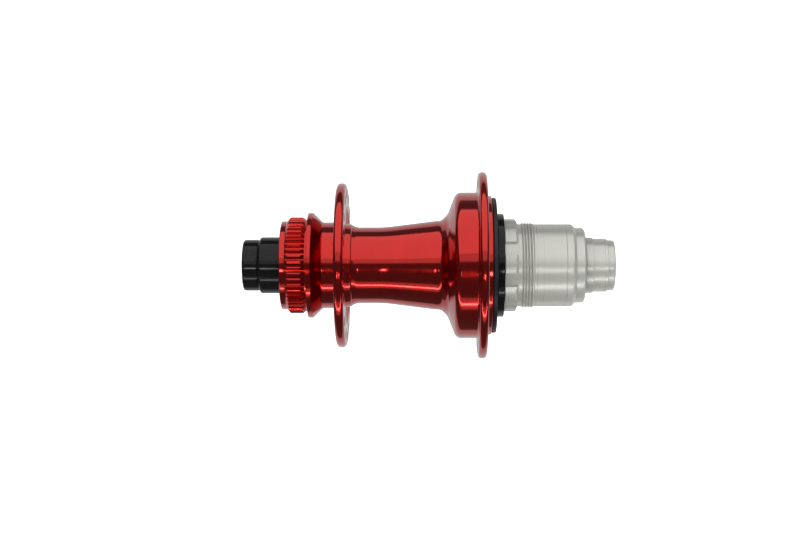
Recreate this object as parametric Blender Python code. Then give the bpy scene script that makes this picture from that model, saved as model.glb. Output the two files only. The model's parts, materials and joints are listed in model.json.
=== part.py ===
"""Rear bicycle hub with a centre-lock rotor seat, a ratchet freehub and a 12 mm thru-axle bore.

The hub's axle lies along X with the middle of the hub at the origin. -X is the brake side, +X is
the drive side and +Z is up. Angles about the axle run from +Z towards +Y, which is the way the
wheel turns when the bicycle rolls forward.
"""

import math

import bmesh
import bpy
from mathutils import Matrix, Vector

MM = 0.001

# ---- Fits and clearances ----
FIT = 0.3 * MM                    # gap left between pieces that touch or press together
BALL_GAP = 0.3 * MM               # between a ball and its track
PAWL_GAP = 0.2 * MM               # round a pawl
CUT_PAST = 1.0 * MM               # how far a cut runs past the surface that it opens

# ---- Overall sizes ----
HUB_WIDTH = 148.0 * MM            # between the two faces that the frame clamps
THRU_AXLE_BORE_R = 6.3 * MM       # clears a 12 mm thru-axle
LEFT_FLANGE_X = -34.8 * MM        # middle of the brake-side flange
RIGHT_FLANGE_X = 21.3 * MM        # middle of the drive-side flange

# ---- Bearings: 17 x 30 x 7 mm in three places and 17 x 26 x 5 mm at the freehub's outer end ----
BEARING_R = 15.0 * MM
BEARING_WIDTH = 7.0 * MM
SMALL_BEARING_R = 13.0 * MM
SMALL_BEARING_WIDTH = 5.0 * MM
BALL_COUNT = 8
BALL_SHARE = 4.0 / 13.0           # a ball's radius, as part of the bearing's depth
RACE_SHARE = 0.265                # part of the bearing's depth that each race takes
TRACK_FLAT_SHARE = 0.45           # part of a track's width that is its flat bottom
SHIELD_THICKNESS = 0.45 * MM
SHIELD_INSET = 0.25 * MM

# ---- Axle, spacers and end caps ----
AXLE_WALL = 1.9 * MM
AXLE_SHOULDER_STEP = 1.4 * MM     # rise of the axle between the two hub bearings
AXLE_END_INSET = 6.0 * MM         # from the clamped face to the end of the axle
SPACER_WALL = 1.8 * MM
O_RING_R = 0.45 * MM
O_RING_GROOVE_DEPTH = 0.9 * MM
O_RING_GROOVE_WIDTH = 1.6 * MM
LEFT_CAP_NOSE_R = 10.2 * MM
LEFT_CAP_NOSE_LENGTH = 5.8 * MM
LEFT_CAP_R = 11.25 * MM
LEFT_CAP_CONE_LENGTH = 1.3 * MM
CAP_EDGE = 0.9 * MM               # bevel on each cap's clamped edge
LEFT_O_RING_INSET = 10.0 * MM
RIGHT_CAP_TIP_R = 10.05 * MM
RIGHT_CAP_TIP_LENGTH = 2.9 * MM
RIGHT_CAP_MIDDLE_R = 10.6 * MM
RIGHT_CAP_MIDDLE_LENGTH = 5.7 * MM
RIGHT_CAP_BASE_R = 11.1 * MM
RIGHT_CAP_BASE_LENGTH = 3.0 * MM
RIGHT_O_RING_INSET = 8.4 * MM

# ---- Hub shell, brake side ----
SHELL_END_INSET = 15.3 * MM       # from the clamped face to the shell's brake-side end
BEARING_SEAT_WALL = 2.35 * MM     # wall round the brake-side bearing
SPLINE_ROOT_STEP = 0.35 * MM      # rise from the pilot to the spline's roots
SPLINE_TOOTH_HEIGHT = 1.2 * MM
ROTOR_SPLINE_TEETH = 52
SPLINE_VALLEY_SHARE = 0.5         # part of the pitch that is valley, at half depth
SPLINE_FLANK_SHARE = 0.15         # how much narrower the valley's floor is, on each side
SPLINE_RUN_OUT = 1.0 * MM         # how far the valleys run into the pilot
PILOT_LENGTH = 2.2 * MM
SPLINE_LEAD_IN = 1.3 * MM
ROTOR_SEAT_DEPTH = 10.7 * MM      # from the shell's end to the face that the rotor rests on
ROTOR_RIM_STEP = 1.85 * MM        # rise from the spline's tips to the seat's rim
ROTOR_RIM_WIDTH = 1.4 * MM
NECK_WALL = 1.9 * MM
DUST_SEAL_DEPTH = 2.8 * MM        # how far the seal sits inside the shell's end
DUST_SEAL_WIDTH = 1.0 * MM
DUST_SEAL_GAP = 0.45 * MM         # between the seal and the cap that turns in it

# ---- Flanges ----
FLANGE_THICKNESS = 3.5 * MM
FLANGE_ROUND_SHARE = 0.95         # the rim's radius, as part of half the flange's thickness
LEFT_HOLE_CIRCLE_R = 28.5 * MM
FLANGE_RIM = 4.35 * MM            # from the hole circle to the flange's edge
SPOKE_HOLE_R = 1.3 * MM
SPOKES_PER_FLANGE = 16
LEFT_HOLE_PHASE = math.radians(-5.0)
DISH_DEPTH = 0.7 * MM             # hollow turned in the brake-side flange's inner face
DISH_RIM_INSET = 4.5 * MM

# ---- Barrel ----
BARREL_GAP = 2.6 * MM             # between the axle's shoulder and the barrel's bore
BARREL_WALL = 3.0 * MM
BARREL_BOSS_STEP = 1.0 * MM
BARREL_BOSS_END = 4.0 * MM        # from the flange's middle
BARREL_BOSS_FADE = 2.0 * MM
BARREL_CONE_START = 16.7 * MM     # from the flange's middle

# ---- Ratchet housing and drive-side end ----
SHELL_RIGHT_OVERHANG = 3.6 * MM   # from the drive-side flange's middle to the shell's end
HOUSING_WALL = 3.2 * MM
HOUSING_CONE_WALL = 2.5 * MM      # wall round the drive-side hub bearing
HOUSING_FLOOR = 1.2 * MM          # these lengths run inboard from the end of the housing's bore
HOUSING_EDGE_LENGTH = 1.6 * MM
HOUSING_CONE_LENGTH = 3.1 * MM
HOUSING_CURVE_LENGTH = 2.7 * MM
BEARING_LAND_LENGTH = 1.8 * MM
HOUSING_EDGE_DROP = 1.0 * MM
HOUSING_CURVE_RISE = 2.4 * MM
INNER_CONE_LENGTH = 3.1 * MM
INNER_CURVE_LENGTH = 1.6 * MM
INNER_CURVE_RISE = 3.9 * MM
RIGHT_BOSS_WALL = 1.85 * MM
RIGHT_BEARING_INSET = 27.4 * MM   # from the shell's drive-side end to the bearing's far face
HOLE_CIRCLE_STEP = 3.8 * MM       # from the housing to the drive-side hole circle

# ---- Ratchet and pawls ----
RATCHET_TEETH = 108
TOOTH_DEPTH = 0.8 * MM
RATCHET_WALL = 2.5 * MM
RATCHET_WIDTH = 7.6 * MM
RATCHET_INSET = 7.2 * MM          # from the shell's drive-side end to the ratchet's middle
RATCHET_FLOOR_GAP = 0.6 * MM      # from the ratchet to the end of the housing's bore
DRUM_CLEARANCE = 0.5 * MM         # between the drum and the ratchet's tooth tips
PAWL_COUNT = 6
PAWL_WIDTH = 6.0 * MM
PAWL_HEEL_R = 1.6 * MM
PAWL_REACH = math.radians(16.0)   # from the pivot to the tip, about the hub's axis
PAWL_TIP_GAP = math.radians(0.95) # room for the tip to swing past the tooth that it pushes
PAWL_NOSE_DEPTH = 2.3 * MM
PAWL_POCKET_DEPTH = 4.0 * MM
PAWL_POCKET_LENGTH = 7.3 * MM
PAWL_POCKET_CORNER = 0.54 * MM    # from the pivot back to where the pocket's floor starts
PAWL_FLOOR_GAP = 0.35 * MM        # between a pawl's heel and its pocket's floor
PAWL_PHASE = math.radians(30.0)
LEAF_THICKNESS = 0.3 * MM
LEAF_START = 1.3 * MM
LEAF_LENGTH = 5.0 * MM
LEAF_RISE = 0.35 * MM
LEAF_STEPS = 4
LEAF_SIDE_GAP = 0.9 * MM          # how much narrower the leaf is than the pawl, on each side

# ---- Freehub body ----
DRUM_WALL = 2.6 * MM              # between the inboard bearing and the pawl pockets
DRUM_WIDTH = 9.3 * MM
DRUM_INSET = 2.7 * MM             # from the shell's drive-side end to the drum
DRUM_BEARING_INSET = 1.1 * MM
DRIVER_NECK_WALL = 2.0 * MM       # wall round the inboard bearing, beside the drum
DRIVER_SPLINE_HEIGHT = 1.2 * MM
DRIVER_VALLEY_STEP = 0.1 * MM     # rise from the neck to the hollows between the lands
DRIVER_SPLINE_START = 5.1 * MM    # these lengths run from the shell's drive-side end
DRIVER_SPLINE_END = 9.5 * MM
DRIVER_GROOVE_START = 10.2 * MM
DRIVER_THREAD_START = 11.9 * MM
DRIVER_LANDS = 9
LAND_WIDTH = math.radians(22.8)
LAND_PHASE = math.radians(-48.7)
DRIVER_GROOVE_DEPTH = 0.8 * MM
THREAD_DEPTH = 0.65 * MM
THREAD_ROOT_STEP = 0.1 * MM       # drop from the groove to the thread's root
THREAD_TURNS = 4
THREAD_PITCH = 1.15 * MM
DRIVER_RISE = 0.05 * MM           # from the thread's root to the plain end
DRIVER_END_INSET = 12.0 * MM      # from the clamped face to the freehub's end
DRIVER_STEP_WALL = 1.7 * MM       # wall round the outboard bearing, at the freehub's end
DRIVER_STEP_LENGTH = 3.8 * MM
DRIVER_STEP_RISE = 0.3 * MM
DRIVER_EDGE = 1.2 * MM
DRIVER_STEP_EDGE = 0.7 * MM
DRIVER_BORE_R = 12.0 * MM
SMALL_BEARING_INSET = 7.4 * MM    # from the freehub's end to the bearing's far face
CIRCLIP_GROOVE_WALL = 1.0 * MM    # from the freehub's end to the circlip's groove
CIRCLIP_SIDE_GAP = 0.15 * MM
CIRCLIP_WIDTH = 0.8 * MM
CIRCLIP_DEPTH = 0.7 * MM
CIRCLIP_GAP = 5.0 * MM

# ---- Freehub seal and collar ----
SEAL_STEP = 0.8 * MM              # drop from the shell's end to the seal's edge
SEAL_WIDTH = 1.6 * MM
SEAL_EDGE = 0.5 * MM
SEAL_LIP_GAP = 0.7 * MM           # between the lip and the housing's bore
SEAL_LIP_WALL = 1.3 * MM
SEAL_LIP_LENGTH = 1.7 * MM
COLLAR_WALL = 3.35 * MM           # from the freehub's neck
COLLAR_WIDTH = 2.7 * MM
COLLAR_RECESS = 0.6 * MM          # hollow in the collar's face that clears the cassette lands

# ---- Worked out from the sizes above ----
LEFT_END = -HUB_WIDTH / 2
RIGHT_END = HUB_WIDTH / 2
AXLE_R = THRU_AXLE_BORE_R + AXLE_WALL
BEARING_BORE_R = AXLE_R + FIT
AXLE_SHOULDER_R = AXLE_R + AXLE_SHOULDER_STEP
SPACER_R = BEARING_BORE_R + SPACER_WALL
SEAT_R = BEARING_R + FIT

SHELL_LEFT = LEFT_END + SHELL_END_INSET
LEFT_BEARING_X = SHELL_LEFT + DUST_SEAL_DEPTH + DUST_SEAL_WIDTH + FIT
PILOT_R = SEAT_R + BEARING_SEAT_WALL
SPLINE_ROOT_R = PILOT_R + SPLINE_ROOT_STEP
SPLINE_TIP_R = SPLINE_ROOT_R + SPLINE_TOOTH_HEIGHT
ROTOR_RIM_R = SPLINE_TIP_R + ROTOR_RIM_STEP
ROTOR_SEAT_X = SHELL_LEFT + ROTOR_SEAT_DEPTH
NECK_R = SEAT_R + NECK_WALL

BARREL_BORE_R = AXLE_SHOULDER_R + BARREL_GAP
BARREL_R = BARREL_BORE_R + BARREL_WALL
LEFT_FLANGE_R = LEFT_HOLE_CIRCLE_R + FLANGE_RIM

SHELL_RIGHT = RIGHT_FLANGE_X + SHELL_RIGHT_OVERHANG
RIGHT_BEARING_X = SHELL_RIGHT - RIGHT_BEARING_INSET
POCKET_FLOOR_R = SEAT_R + DRUM_WALL
DRUM_R = POCKET_FLOOR_R + PAWL_POCKET_DEPTH
RATCHET_TIP_R = DRUM_R + DRUM_CLEARANCE
RATCHET_VALLEY_R = RATCHET_TIP_R + TOOTH_DEPTH
RATCHET_R = RATCHET_VALLEY_R + RATCHET_WALL
RATCHET_X = SHELL_RIGHT - RATCHET_INSET
RATCHET_PITCH = 2 * math.pi / RATCHET_TEETH
HOUSING_BORE_R = RATCHET_R + FIT
HOUSING_R = HOUSING_BORE_R + HOUSING_WALL
HOUSING_BORE_END = RATCHET_X - RATCHET_WIDTH / 2 - RATCHET_FLOOR_GAP
HOUSING_CONE_R = SEAT_R + HOUSING_CONE_WALL
RIGHT_BOSS_R = HOUSING_BORE_R + RIGHT_BOSS_WALL
RIGHT_HOLE_CIRCLE_R = HOUSING_R + HOLE_CIRCLE_STEP
RIGHT_FLANGE_R = RIGHT_HOLE_CIRCLE_R + FLANGE_RIM
PIVOT_R = POCKET_FLOOR_R + PAWL_FLOOR_GAP + PAWL_HEEL_R

DRUM_RIGHT = SHELL_RIGHT - DRUM_INSET
DRUM_LEFT = DRUM_RIGHT - DRUM_WIDTH
INBOARD_BEARING_X = DRUM_LEFT + DRUM_BEARING_INSET
DRIVER_END = RIGHT_END - DRIVER_END_INSET
OUTBOARD_BEARING_X = DRIVER_END - SMALL_BEARING_INSET
SMALL_SEAT_R = SMALL_BEARING_R + FIT
DRIVER_NECK_R = SEAT_R + DRIVER_NECK_WALL
DRIVER_SPLINE_R = DRIVER_NECK_R + DRIVER_SPLINE_HEIGHT
DRIVER_GROOVE_R = DRIVER_NECK_R - DRIVER_GROOVE_DEPTH
THREAD_ROOT_R = DRIVER_GROOVE_R - THREAD_ROOT_STEP
THREAD_CREST_R = THREAD_ROOT_R + THREAD_DEPTH
DRIVER_R = THREAD_ROOT_R + DRIVER_RISE
DRIVER_STEP_R = SMALL_SEAT_R + DRIVER_STEP_WALL

SEAL_X = SHELL_RIGHT + FIT
SEAL_R = RIGHT_BOSS_R - SEAL_STEP
SEAL_LIP_R = HOUSING_BORE_R - SEAL_LIP_GAP
COLLAR_X = SEAL_X + SEAL_WIDTH + FIT
COLLAR_R = DRIVER_NECK_R + COLLAR_WALL

# ---- Facets round each kind of turned piece ----
SHELL_FACETS = ROTOR_SPLINE_TEETH
DRIVER_FACETS = 36
CAP_FACETS = 28
BEARING_FACETS = 20
BALL_FACETS = 6
HOLE_FACETS = 8


def clear_scene():
    for old in list(bpy.data.objects):
        bpy.data.objects.remove(old, do_unlink=True)


def make_material(name, colour, metallic, roughness):
    """A Principled material with one colour, given as linear red, green and blue."""
    material = bpy.data.materials.new(name)
    material.use_nodes = True
    shader = material.node_tree.nodes["Principled BSDF"]
    shader.inputs["Base Color"].default_value = (*colour, 1.0)
    shader.inputs["Metallic"].default_value = metallic
    shader.inputs["Roughness"].default_value = roughness
    return material


def make_group(name):
    """An empty at the origin that holds the pieces which move together."""
    group = bpy.data.objects.new(name, None)
    bpy.context.scene.collection.objects.link(group)
    return group


def add_object(name, bm, material=None, group=None, location=(0.0, 0.0, 0.0)):
    """Turns a bmesh into a named object with smooth round faces and crisp edges."""
    bmesh.ops.recalc_face_normals(bm, faces=bm.faces)
    mesh = bpy.data.meshes.new(name)
    bm.to_mesh(mesh)
    bm.free()
    mesh.shade_smooth()
    mesh.set_sharp_from_angle(angle=math.radians(30))
    piece = bpy.data.objects.new(name, mesh)
    piece.location = location
    if material:
        mesh.materials.append(material)
    if group:
        piece.parent = group
    bpy.context.scene.collection.objects.link(piece)
    return piece


def hide_helper(helper):
    helper.hide_render = True
    helper.display_type = "WIRE"


def add_boolean(piece, helper, operation):
    modifier = piece.modifiers.new(helper.name, "BOOLEAN")
    modifier.operation = operation
    modifier.solver = "EXACT"
    modifier.object = helper
    hide_helper(helper)


def polar(radius, angle):
    """Y and Z at a radius and an angle about the axle, from +Z towards +Y."""
    return radius * math.sin(angle), radius * math.cos(angle)


def turned_mesh(profile, facets):
    """Spins a closed outline of (x, radius) points once round the axle."""
    bm = bmesh.new()
    points = [bm.verts.new((x, 0.0, radius)) for x, radius in profile]
    edges = [bm.edges.new((points[i - 1], points[i])) for i in range(len(points))]
    bmesh.ops.spin(bm, geom=points + edges, cent=(0, 0, 0), axis=(1, 0, 0),
                   angle=2 * math.pi, steps=facets, use_merge=True)
    return bm


def ring_profile(x_start, x_end, inner_r, outer_r):
    return [(x_start, inner_r), (x_start, outer_r), (x_end, outer_r), (x_end, inner_r)]


def add_prism(bm, outline, x_start, x_end):
    """Adds a straight bar along X whose section is a closed outline of (y, z) points."""
    near = [bm.verts.new((x_start, y, z)) for y, z in outline]
    face = bm.faces.new(near)
    grown = bmesh.ops.extrude_face_region(bm, geom=[face], use_keep_orig=True)
    moved = [item for item in grown["geom"] if isinstance(item, bmesh.types.BMVert)]
    bmesh.ops.translate(bm, vec=(x_end - x_start, 0, 0), verts=moved)


def arc(radius, start, end, steps):
    return [polar(radius, start + (end - start) * i / steps) for i in range(steps + 1)]


# ---- Bearings ----

def race_profile(x_start, width, surface_r, back_r, pitch_r, ball_r):
    """A race with a track for the balls. surface_r faces the balls and back_r faces away."""
    middle = x_start + width / 2
    track_r = ball_r + BALL_GAP
    towards_balls = 1 if surface_r < pitch_r else -1
    half = math.sqrt(track_r ** 2 - (pitch_r - surface_r) ** 2)
    bottom_r = pitch_r - towards_balls * track_r
    flat = half * TRACK_FLAT_SHARE
    return [(x_start, back_r), (x_start, surface_r), (middle - half, surface_r),
            (middle - flat, bottom_r), (middle + flat, bottom_r),
            (middle + half, surface_r), (x_start + width, surface_r), (x_start + width, back_r)]


def add_bearing(prefix, x_start, width, outer_r, steel, rubber, groups):
    """A cartridge bearing: two races, a cage with its balls, and a shield on each side.

    groups holds the inner race's, the outer race's and the cage's groups.
    """
    inner_group, outer_group, cage_group = groups
    depth = outer_r - BEARING_BORE_R
    ball_r = depth * BALL_SHARE
    inner_face_r = BEARING_BORE_R + depth * RACE_SHARE
    outer_face_r = outer_r - depth * RACE_SHARE
    pitch_r = BEARING_BORE_R + depth / 2
    middle = x_start + width / 2

    inner = race_profile(x_start, width, inner_face_r, BEARING_BORE_R, pitch_r, ball_r)
    add_object(prefix + "_inner_race", turned_mesh(inner, BEARING_FACETS), steel, inner_group)
    outer = race_profile(x_start, width, outer_face_r, outer_r, pitch_r, ball_r)
    add_object(prefix + "_outer_race", turned_mesh(outer, BEARING_FACETS), steel, outer_group)

    cage_half_wall = (outer_face_r - inner_face_r) / 2 - 2 * BALL_GAP
    cage_half_width = width / 2 - SHIELD_INSET - SHIELD_THICKNESS - BALL_GAP
    cage = ring_profile(middle - cage_half_width, middle + cage_half_width,
                        pitch_r - cage_half_wall, pitch_r + cage_half_wall)
    cage_piece = add_object(prefix + "_ball_cage", turned_mesh(cage, BEARING_FACETS), steel,
                            cage_group)
    balls = bmesh.new()
    for i in range(BALL_COUNT):
        y, z = polar(pitch_r, 2 * math.pi * i / BALL_COUNT)
        bmesh.ops.create_uvsphere(balls, u_segments=BALL_FACETS, v_segments=4, radius=ball_r,
                                  matrix=Matrix.Translation((middle, y, z)))
    add_boolean(cage_piece, add_object(prefix + "_balls", balls), "UNION")

    shield_inner_r = inner_face_r + FIT
    shield_outer_r = outer_face_r - FIT
    sides = {"_shield_left": x_start + SHIELD_INSET,
             "_shield_right": x_start + width - SHIELD_INSET - SHIELD_THICKNESS}
    for side, x in sides.items():
        shield = ring_profile(x, x + SHIELD_THICKNESS, shield_inner_r, shield_outer_r)
        add_object(prefix + side, turned_mesh(shield, BEARING_FACETS), rubber, outer_group)


# ---- Axle, spacers and end caps ----

def o_ring_groove(x):
    """The four corners of a groove round the axle, from left to right."""
    half = O_RING_GROOVE_WIDTH / 2
    bottom = AXLE_R - O_RING_GROOVE_DEPTH
    return [(x - half, AXLE_R), (x - half, bottom), (x + half, bottom), (x + half, AXLE_R)]


def add_axle(steel, group):
    start = LEFT_END + AXLE_END_INSET
    end = RIGHT_END - AXLE_END_INSET
    shoulder_start = LEFT_BEARING_X + BEARING_WIDTH + FIT
    shoulder_end = RIGHT_BEARING_X - FIT
    profile = [(start, THRU_AXLE_BORE_R), (start, AXLE_R)]
    profile += o_ring_groove(LEFT_END + LEFT_O_RING_INSET)
    profile += [(shoulder_start, AXLE_R), (shoulder_start, AXLE_SHOULDER_R),
                (shoulder_end, AXLE_SHOULDER_R), (shoulder_end, AXLE_R)]
    profile += o_ring_groove(RIGHT_END - RIGHT_O_RING_INSET)
    profile += [(end, AXLE_R), (end, THRU_AXLE_BORE_R)]
    add_object("axle", turned_mesh(profile, BEARING_FACETS), steel, group)


def add_spacers(material, group):
    """The tubes that hold the inner races apart on the drive side."""
    spans = {
        "hub_spacer": (RIGHT_BEARING_X + BEARING_WIDTH, INBOARD_BEARING_X),
        "freehub_spacer": (INBOARD_BEARING_X + BEARING_WIDTH, OUTBOARD_BEARING_X),
    }
    for name, (start, end) in spans.items():
        profile = ring_profile(start + FIT, end - FIT, BEARING_BORE_R, SPACER_R - FIT)
        add_object(name, turned_mesh(profile, BEARING_FACETS), material, group)


def add_o_rings(rubber, group):
    centre_r = AXLE_R - O_RING_GROOVE_DEPTH + O_RING_R + FIT / 2
    places = {"left_cap_o_ring": LEFT_END + LEFT_O_RING_INSET,
              "right_cap_o_ring": RIGHT_END - RIGHT_O_RING_INSET}
    for name, x in places.items():
        section = [(x + O_RING_R * math.cos(math.radians(60 * i)),
                    centre_r + O_RING_R * math.sin(math.radians(60 * i))) for i in range(6)]
        add_object(name, turned_mesh(section, BEARING_FACETS), rubber, group)


def add_left_cap(material, group):
    """Black cap: a nose for the frame's dropout, a short cone and a sleeve over the axle."""
    nose_end = LEFT_END + LEFT_CAP_NOSE_LENGTH
    inner_end = LEFT_BEARING_X - FIT
    floor = LEFT_END + AXLE_END_INSET - FIT
    profile = [
        (LEFT_END, THRU_AXLE_BORE_R),
        (LEFT_END, LEFT_CAP_NOSE_R - CAP_EDGE),
        (LEFT_END + CAP_EDGE, LEFT_CAP_NOSE_R),
        (nose_end, LEFT_CAP_NOSE_R),
        (nose_end + LEFT_CAP_CONE_LENGTH, LEFT_CAP_R),
        (inner_end, LEFT_CAP_R),
        (inner_end, BEARING_BORE_R),
        (floor, BEARING_BORE_R),
        (floor, THRU_AXLE_BORE_R),
    ]
    add_object("left_end_cap", turned_mesh(profile, CAP_FACETS), material, group)


def add_right_cap(material, group):
    """Silver cap: three rings that step down towards the clamped face, over the axle."""
    middle_start = RIGHT_END - RIGHT_CAP_TIP_LENGTH
    base_end = middle_start - RIGHT_CAP_MIDDLE_LENGTH
    base_start = base_end - RIGHT_CAP_BASE_LENGTH
    inner_end = OUTBOARD_BEARING_X + SMALL_BEARING_WIDTH + FIT
    floor = RIGHT_END - AXLE_END_INSET + FIT
    boss_r = BEARING_BORE_R + (SMALL_BEARING_R - BEARING_BORE_R) * RACE_SHARE
    profile = [
        (RIGHT_END, THRU_AXLE_BORE_R),
        (floor, THRU_AXLE_BORE_R),
        (floor, BEARING_BORE_R),
        (inner_end, BEARING_BORE_R),
        (inner_end, boss_r),
        (base_start, boss_r),
        (base_start, RIGHT_CAP_BASE_R),
        (base_end, RIGHT_CAP_BASE_R),
        (base_end, RIGHT_CAP_MIDDLE_R),
        (middle_start, RIGHT_CAP_MIDDLE_R),
        (middle_start, RIGHT_CAP_TIP_R),
        (RIGHT_END - CAP_EDGE, RIGHT_CAP_TIP_R),
        (RIGHT_END, RIGHT_CAP_TIP_R - CAP_EDGE),
    ]
    add_object("right_end_cap", turned_mesh(profile, CAP_FACETS), material, group)


# ---- Hub shell ----

def flange_outline(middle, outer_r, left_r, right_r):
    """A flange with a rounded rim, from its left foot to its right foot."""
    half = FLANGE_THICKNESS / 2
    round_r = half * FLANGE_ROUND_SHARE
    centre_r = outer_r - round_r
    points = [(middle - half, left_r), (middle - half, centre_r)]
    for degrees in (135, 90, 45):
        angle = math.radians(degrees)
        points.append((middle + half * math.cos(angle), centre_r + round_r * math.sin(angle)))
    points += [(middle + half, centre_r), (middle + half, right_r)]
    return points


def shell_outer_profile():
    """The shell's outside from the brake-side end to the drive-side end."""
    spline_start = SHELL_LEFT + PILOT_LENGTH
    rim_end = ROTOR_SEAT_X + ROTOR_RIM_WIDTH
    dish_r = LEFT_HOLE_CIRCLE_R - DISH_RIM_INSET
    flange_face = LEFT_FLANGE_X + FLANGE_THICKNESS / 2
    boss_r = BARREL_R + BARREL_BOSS_STEP
    boss_end = LEFT_FLANGE_X + BARREL_BOSS_END
    edge_end = HOUSING_BORE_END - HOUSING_FLOOR
    edge_start = edge_end - HOUSING_EDGE_LENGTH
    curve_end = edge_start - HOUSING_CONE_LENGTH
    curve_start = curve_end - HOUSING_CURVE_LENGTH
    pilot = [
        (SHELL_LEFT, PILOT_R),
        (spline_start, PILOT_R),
        (spline_start + SPLINE_LEAD_IN, SPLINE_TIP_R),
        (ROTOR_SEAT_X, SPLINE_TIP_R),
        (ROTOR_SEAT_X, ROTOR_RIM_R),
        (rim_end, ROTOR_RIM_R),
        (rim_end + (ROTOR_RIM_R - NECK_R), NECK_R),
    ]
    left_flange = flange_outline(LEFT_FLANGE_X, LEFT_FLANGE_R, NECK_R, dish_r)
    barrel = [
        (flange_face - DISH_DEPTH, dish_r - DISH_DEPTH),
        (flange_face - DISH_DEPTH, boss_r + DISH_DEPTH),
        (boss_end, boss_r),
        (boss_end + BARREL_BOSS_FADE, BARREL_R),
        (LEFT_FLANGE_X + BARREL_CONE_START, BARREL_R),
        (curve_start - BEARING_LAND_LENGTH, HOUSING_CONE_R),
        (curve_start, HOUSING_CONE_R),
        (curve_end, HOUSING_CONE_R + HOUSING_CURVE_RISE),
        (edge_start, HOUSING_R - HOUSING_EDGE_DROP),
        (edge_end, HOUSING_R),
    ]
    right_flange = flange_outline(RIGHT_FLANGE_X, RIGHT_FLANGE_R, HOUSING_R, RIGHT_BOSS_R)
    return pilot + left_flange + barrel + right_flange + [(SHELL_RIGHT, RIGHT_BOSS_R)]


def shell_inner_profile():
    """The shell's inside from the drive-side end back to the brake-side end."""
    left_lip = LEFT_BEARING_X + BEARING_WIDTH + FIT
    right_lip = RIGHT_BEARING_X - FIT
    cone_start = HOUSING_BORE_END - INNER_CONE_LENGTH
    return [
        (SHELL_RIGHT, HOUSING_BORE_R),
        (HOUSING_BORE_END, HOUSING_BORE_R),
        (cone_start, SEAT_R + INNER_CURVE_RISE),
        (cone_start - INNER_CURVE_LENGTH, SEAT_R),
        (right_lip, SEAT_R),
        (right_lip, BARREL_BORE_R),
        (left_lip, BARREL_BORE_R),
        (left_lip, SEAT_R),
        (SHELL_LEFT, SEAT_R),
    ]


def spline_valley_cutter():
    """One wedge for each valley of the rotor spline."""
    pitch = 2 * math.pi / ROTOR_SPLINE_TEETH
    bottom_half = pitch * (SPLINE_VALLEY_SHARE / 2 - SPLINE_FLANK_SHARE)
    top_half = pitch * (SPLINE_VALLEY_SHARE / 2 + SPLINE_FLANK_SHARE)
    top_r = SPLINE_TIP_R + CUT_PAST / 2
    start = SHELL_LEFT + PILOT_LENGTH - SPLINE_RUN_OUT
    end = ROTOR_SEAT_X
    bm = bmesh.new()
    for i in range(ROTOR_SPLINE_TEETH):
        angle = i * pitch
        outline = [polar(SPLINE_ROOT_R, angle - bottom_half),
                   polar(top_r, angle - top_half),
                   polar(top_r, angle + top_half),
                   polar(SPLINE_ROOT_R, angle + bottom_half)]
        add_prism(bm, outline, start, end)
    return add_object("spline_valley_cutter", bm)


def spoke_hole_cutter():
    """Two circles of drills, one for each flange, half a hole's pitch apart."""
    pitch = 2 * math.pi / SPOKES_PER_FLANGE
    bm = bmesh.new()
    circles = ((LEFT_FLANGE_X, LEFT_HOLE_CIRCLE_R, LEFT_HOLE_PHASE),
               (RIGHT_FLANGE_X, RIGHT_HOLE_CIRCLE_R, LEFT_HOLE_PHASE + pitch / 2))
    for x, circle_r, phase in circles:
        for i in range(SPOKES_PER_FLANGE):
            y, z = polar(circle_r, phase + i * pitch)
            place = Matrix.Translation((x, y, z)) @ Matrix.Rotation(math.pi / 2, 4, "Y")
            bmesh.ops.create_cone(bm, cap_ends=True, segments=HOLE_FACETS,
                                  radius1=SPOKE_HOLE_R, radius2=SPOKE_HOLE_R,
                                  depth=FLANGE_THICKNESS + 2 * CUT_PAST, matrix=place)
    return add_object("spoke_hole_cutter", bm)


def add_shell(material, group):
    profile = shell_outer_profile() + shell_inner_profile()
    shell = add_object("hub_shell", turned_mesh(profile, SHELL_FACETS), material, group)
    add_boolean(shell, spline_valley_cutter(), "DIFFERENCE")
    add_boolean(shell, spoke_hole_cutter(), "DIFFERENCE")


def add_dust_seal(rubber, group):
    start = SHELL_LEFT + DUST_SEAL_DEPTH
    profile = ring_profile(start, start + DUST_SEAL_WIDTH, LEFT_CAP_R + DUST_SEAL_GAP, BEARING_R)
    add_object("left_dust_seal", turned_mesh(profile, BEARING_FACETS), rubber, group)


def add_ratchet_ring(steel, group):
    """A steel ring with saw teeth inside. Each tooth's steep face looks against the pawls."""
    start = RATCHET_X - RATCHET_WIDTH / 2
    end = RATCHET_X + RATCHET_WIDTH / 2
    ring = ring_profile(start, end, RATCHET_TIP_R - FIT, RATCHET_R)
    piece = add_object("ratchet_ring", turned_mesh(ring, DRIVER_FACETS), steel, group)
    first_face = PAWL_PHASE + PAWL_REACH + PAWL_TIP_GAP
    outline = []
    for i in range(RATCHET_TEETH):
        angle = first_face + i * RATCHET_PITCH
        outline += [polar(RATCHET_VALLEY_R, angle), polar(RATCHET_TIP_R, angle)]
    bm = bmesh.new()
    add_prism(bm, outline, start - CUT_PAST, end + CUT_PAST)
    add_boolean(piece, add_object("ratchet_tooth_cutter", bm), "DIFFERENCE")


# ---- Freehub ----

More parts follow.
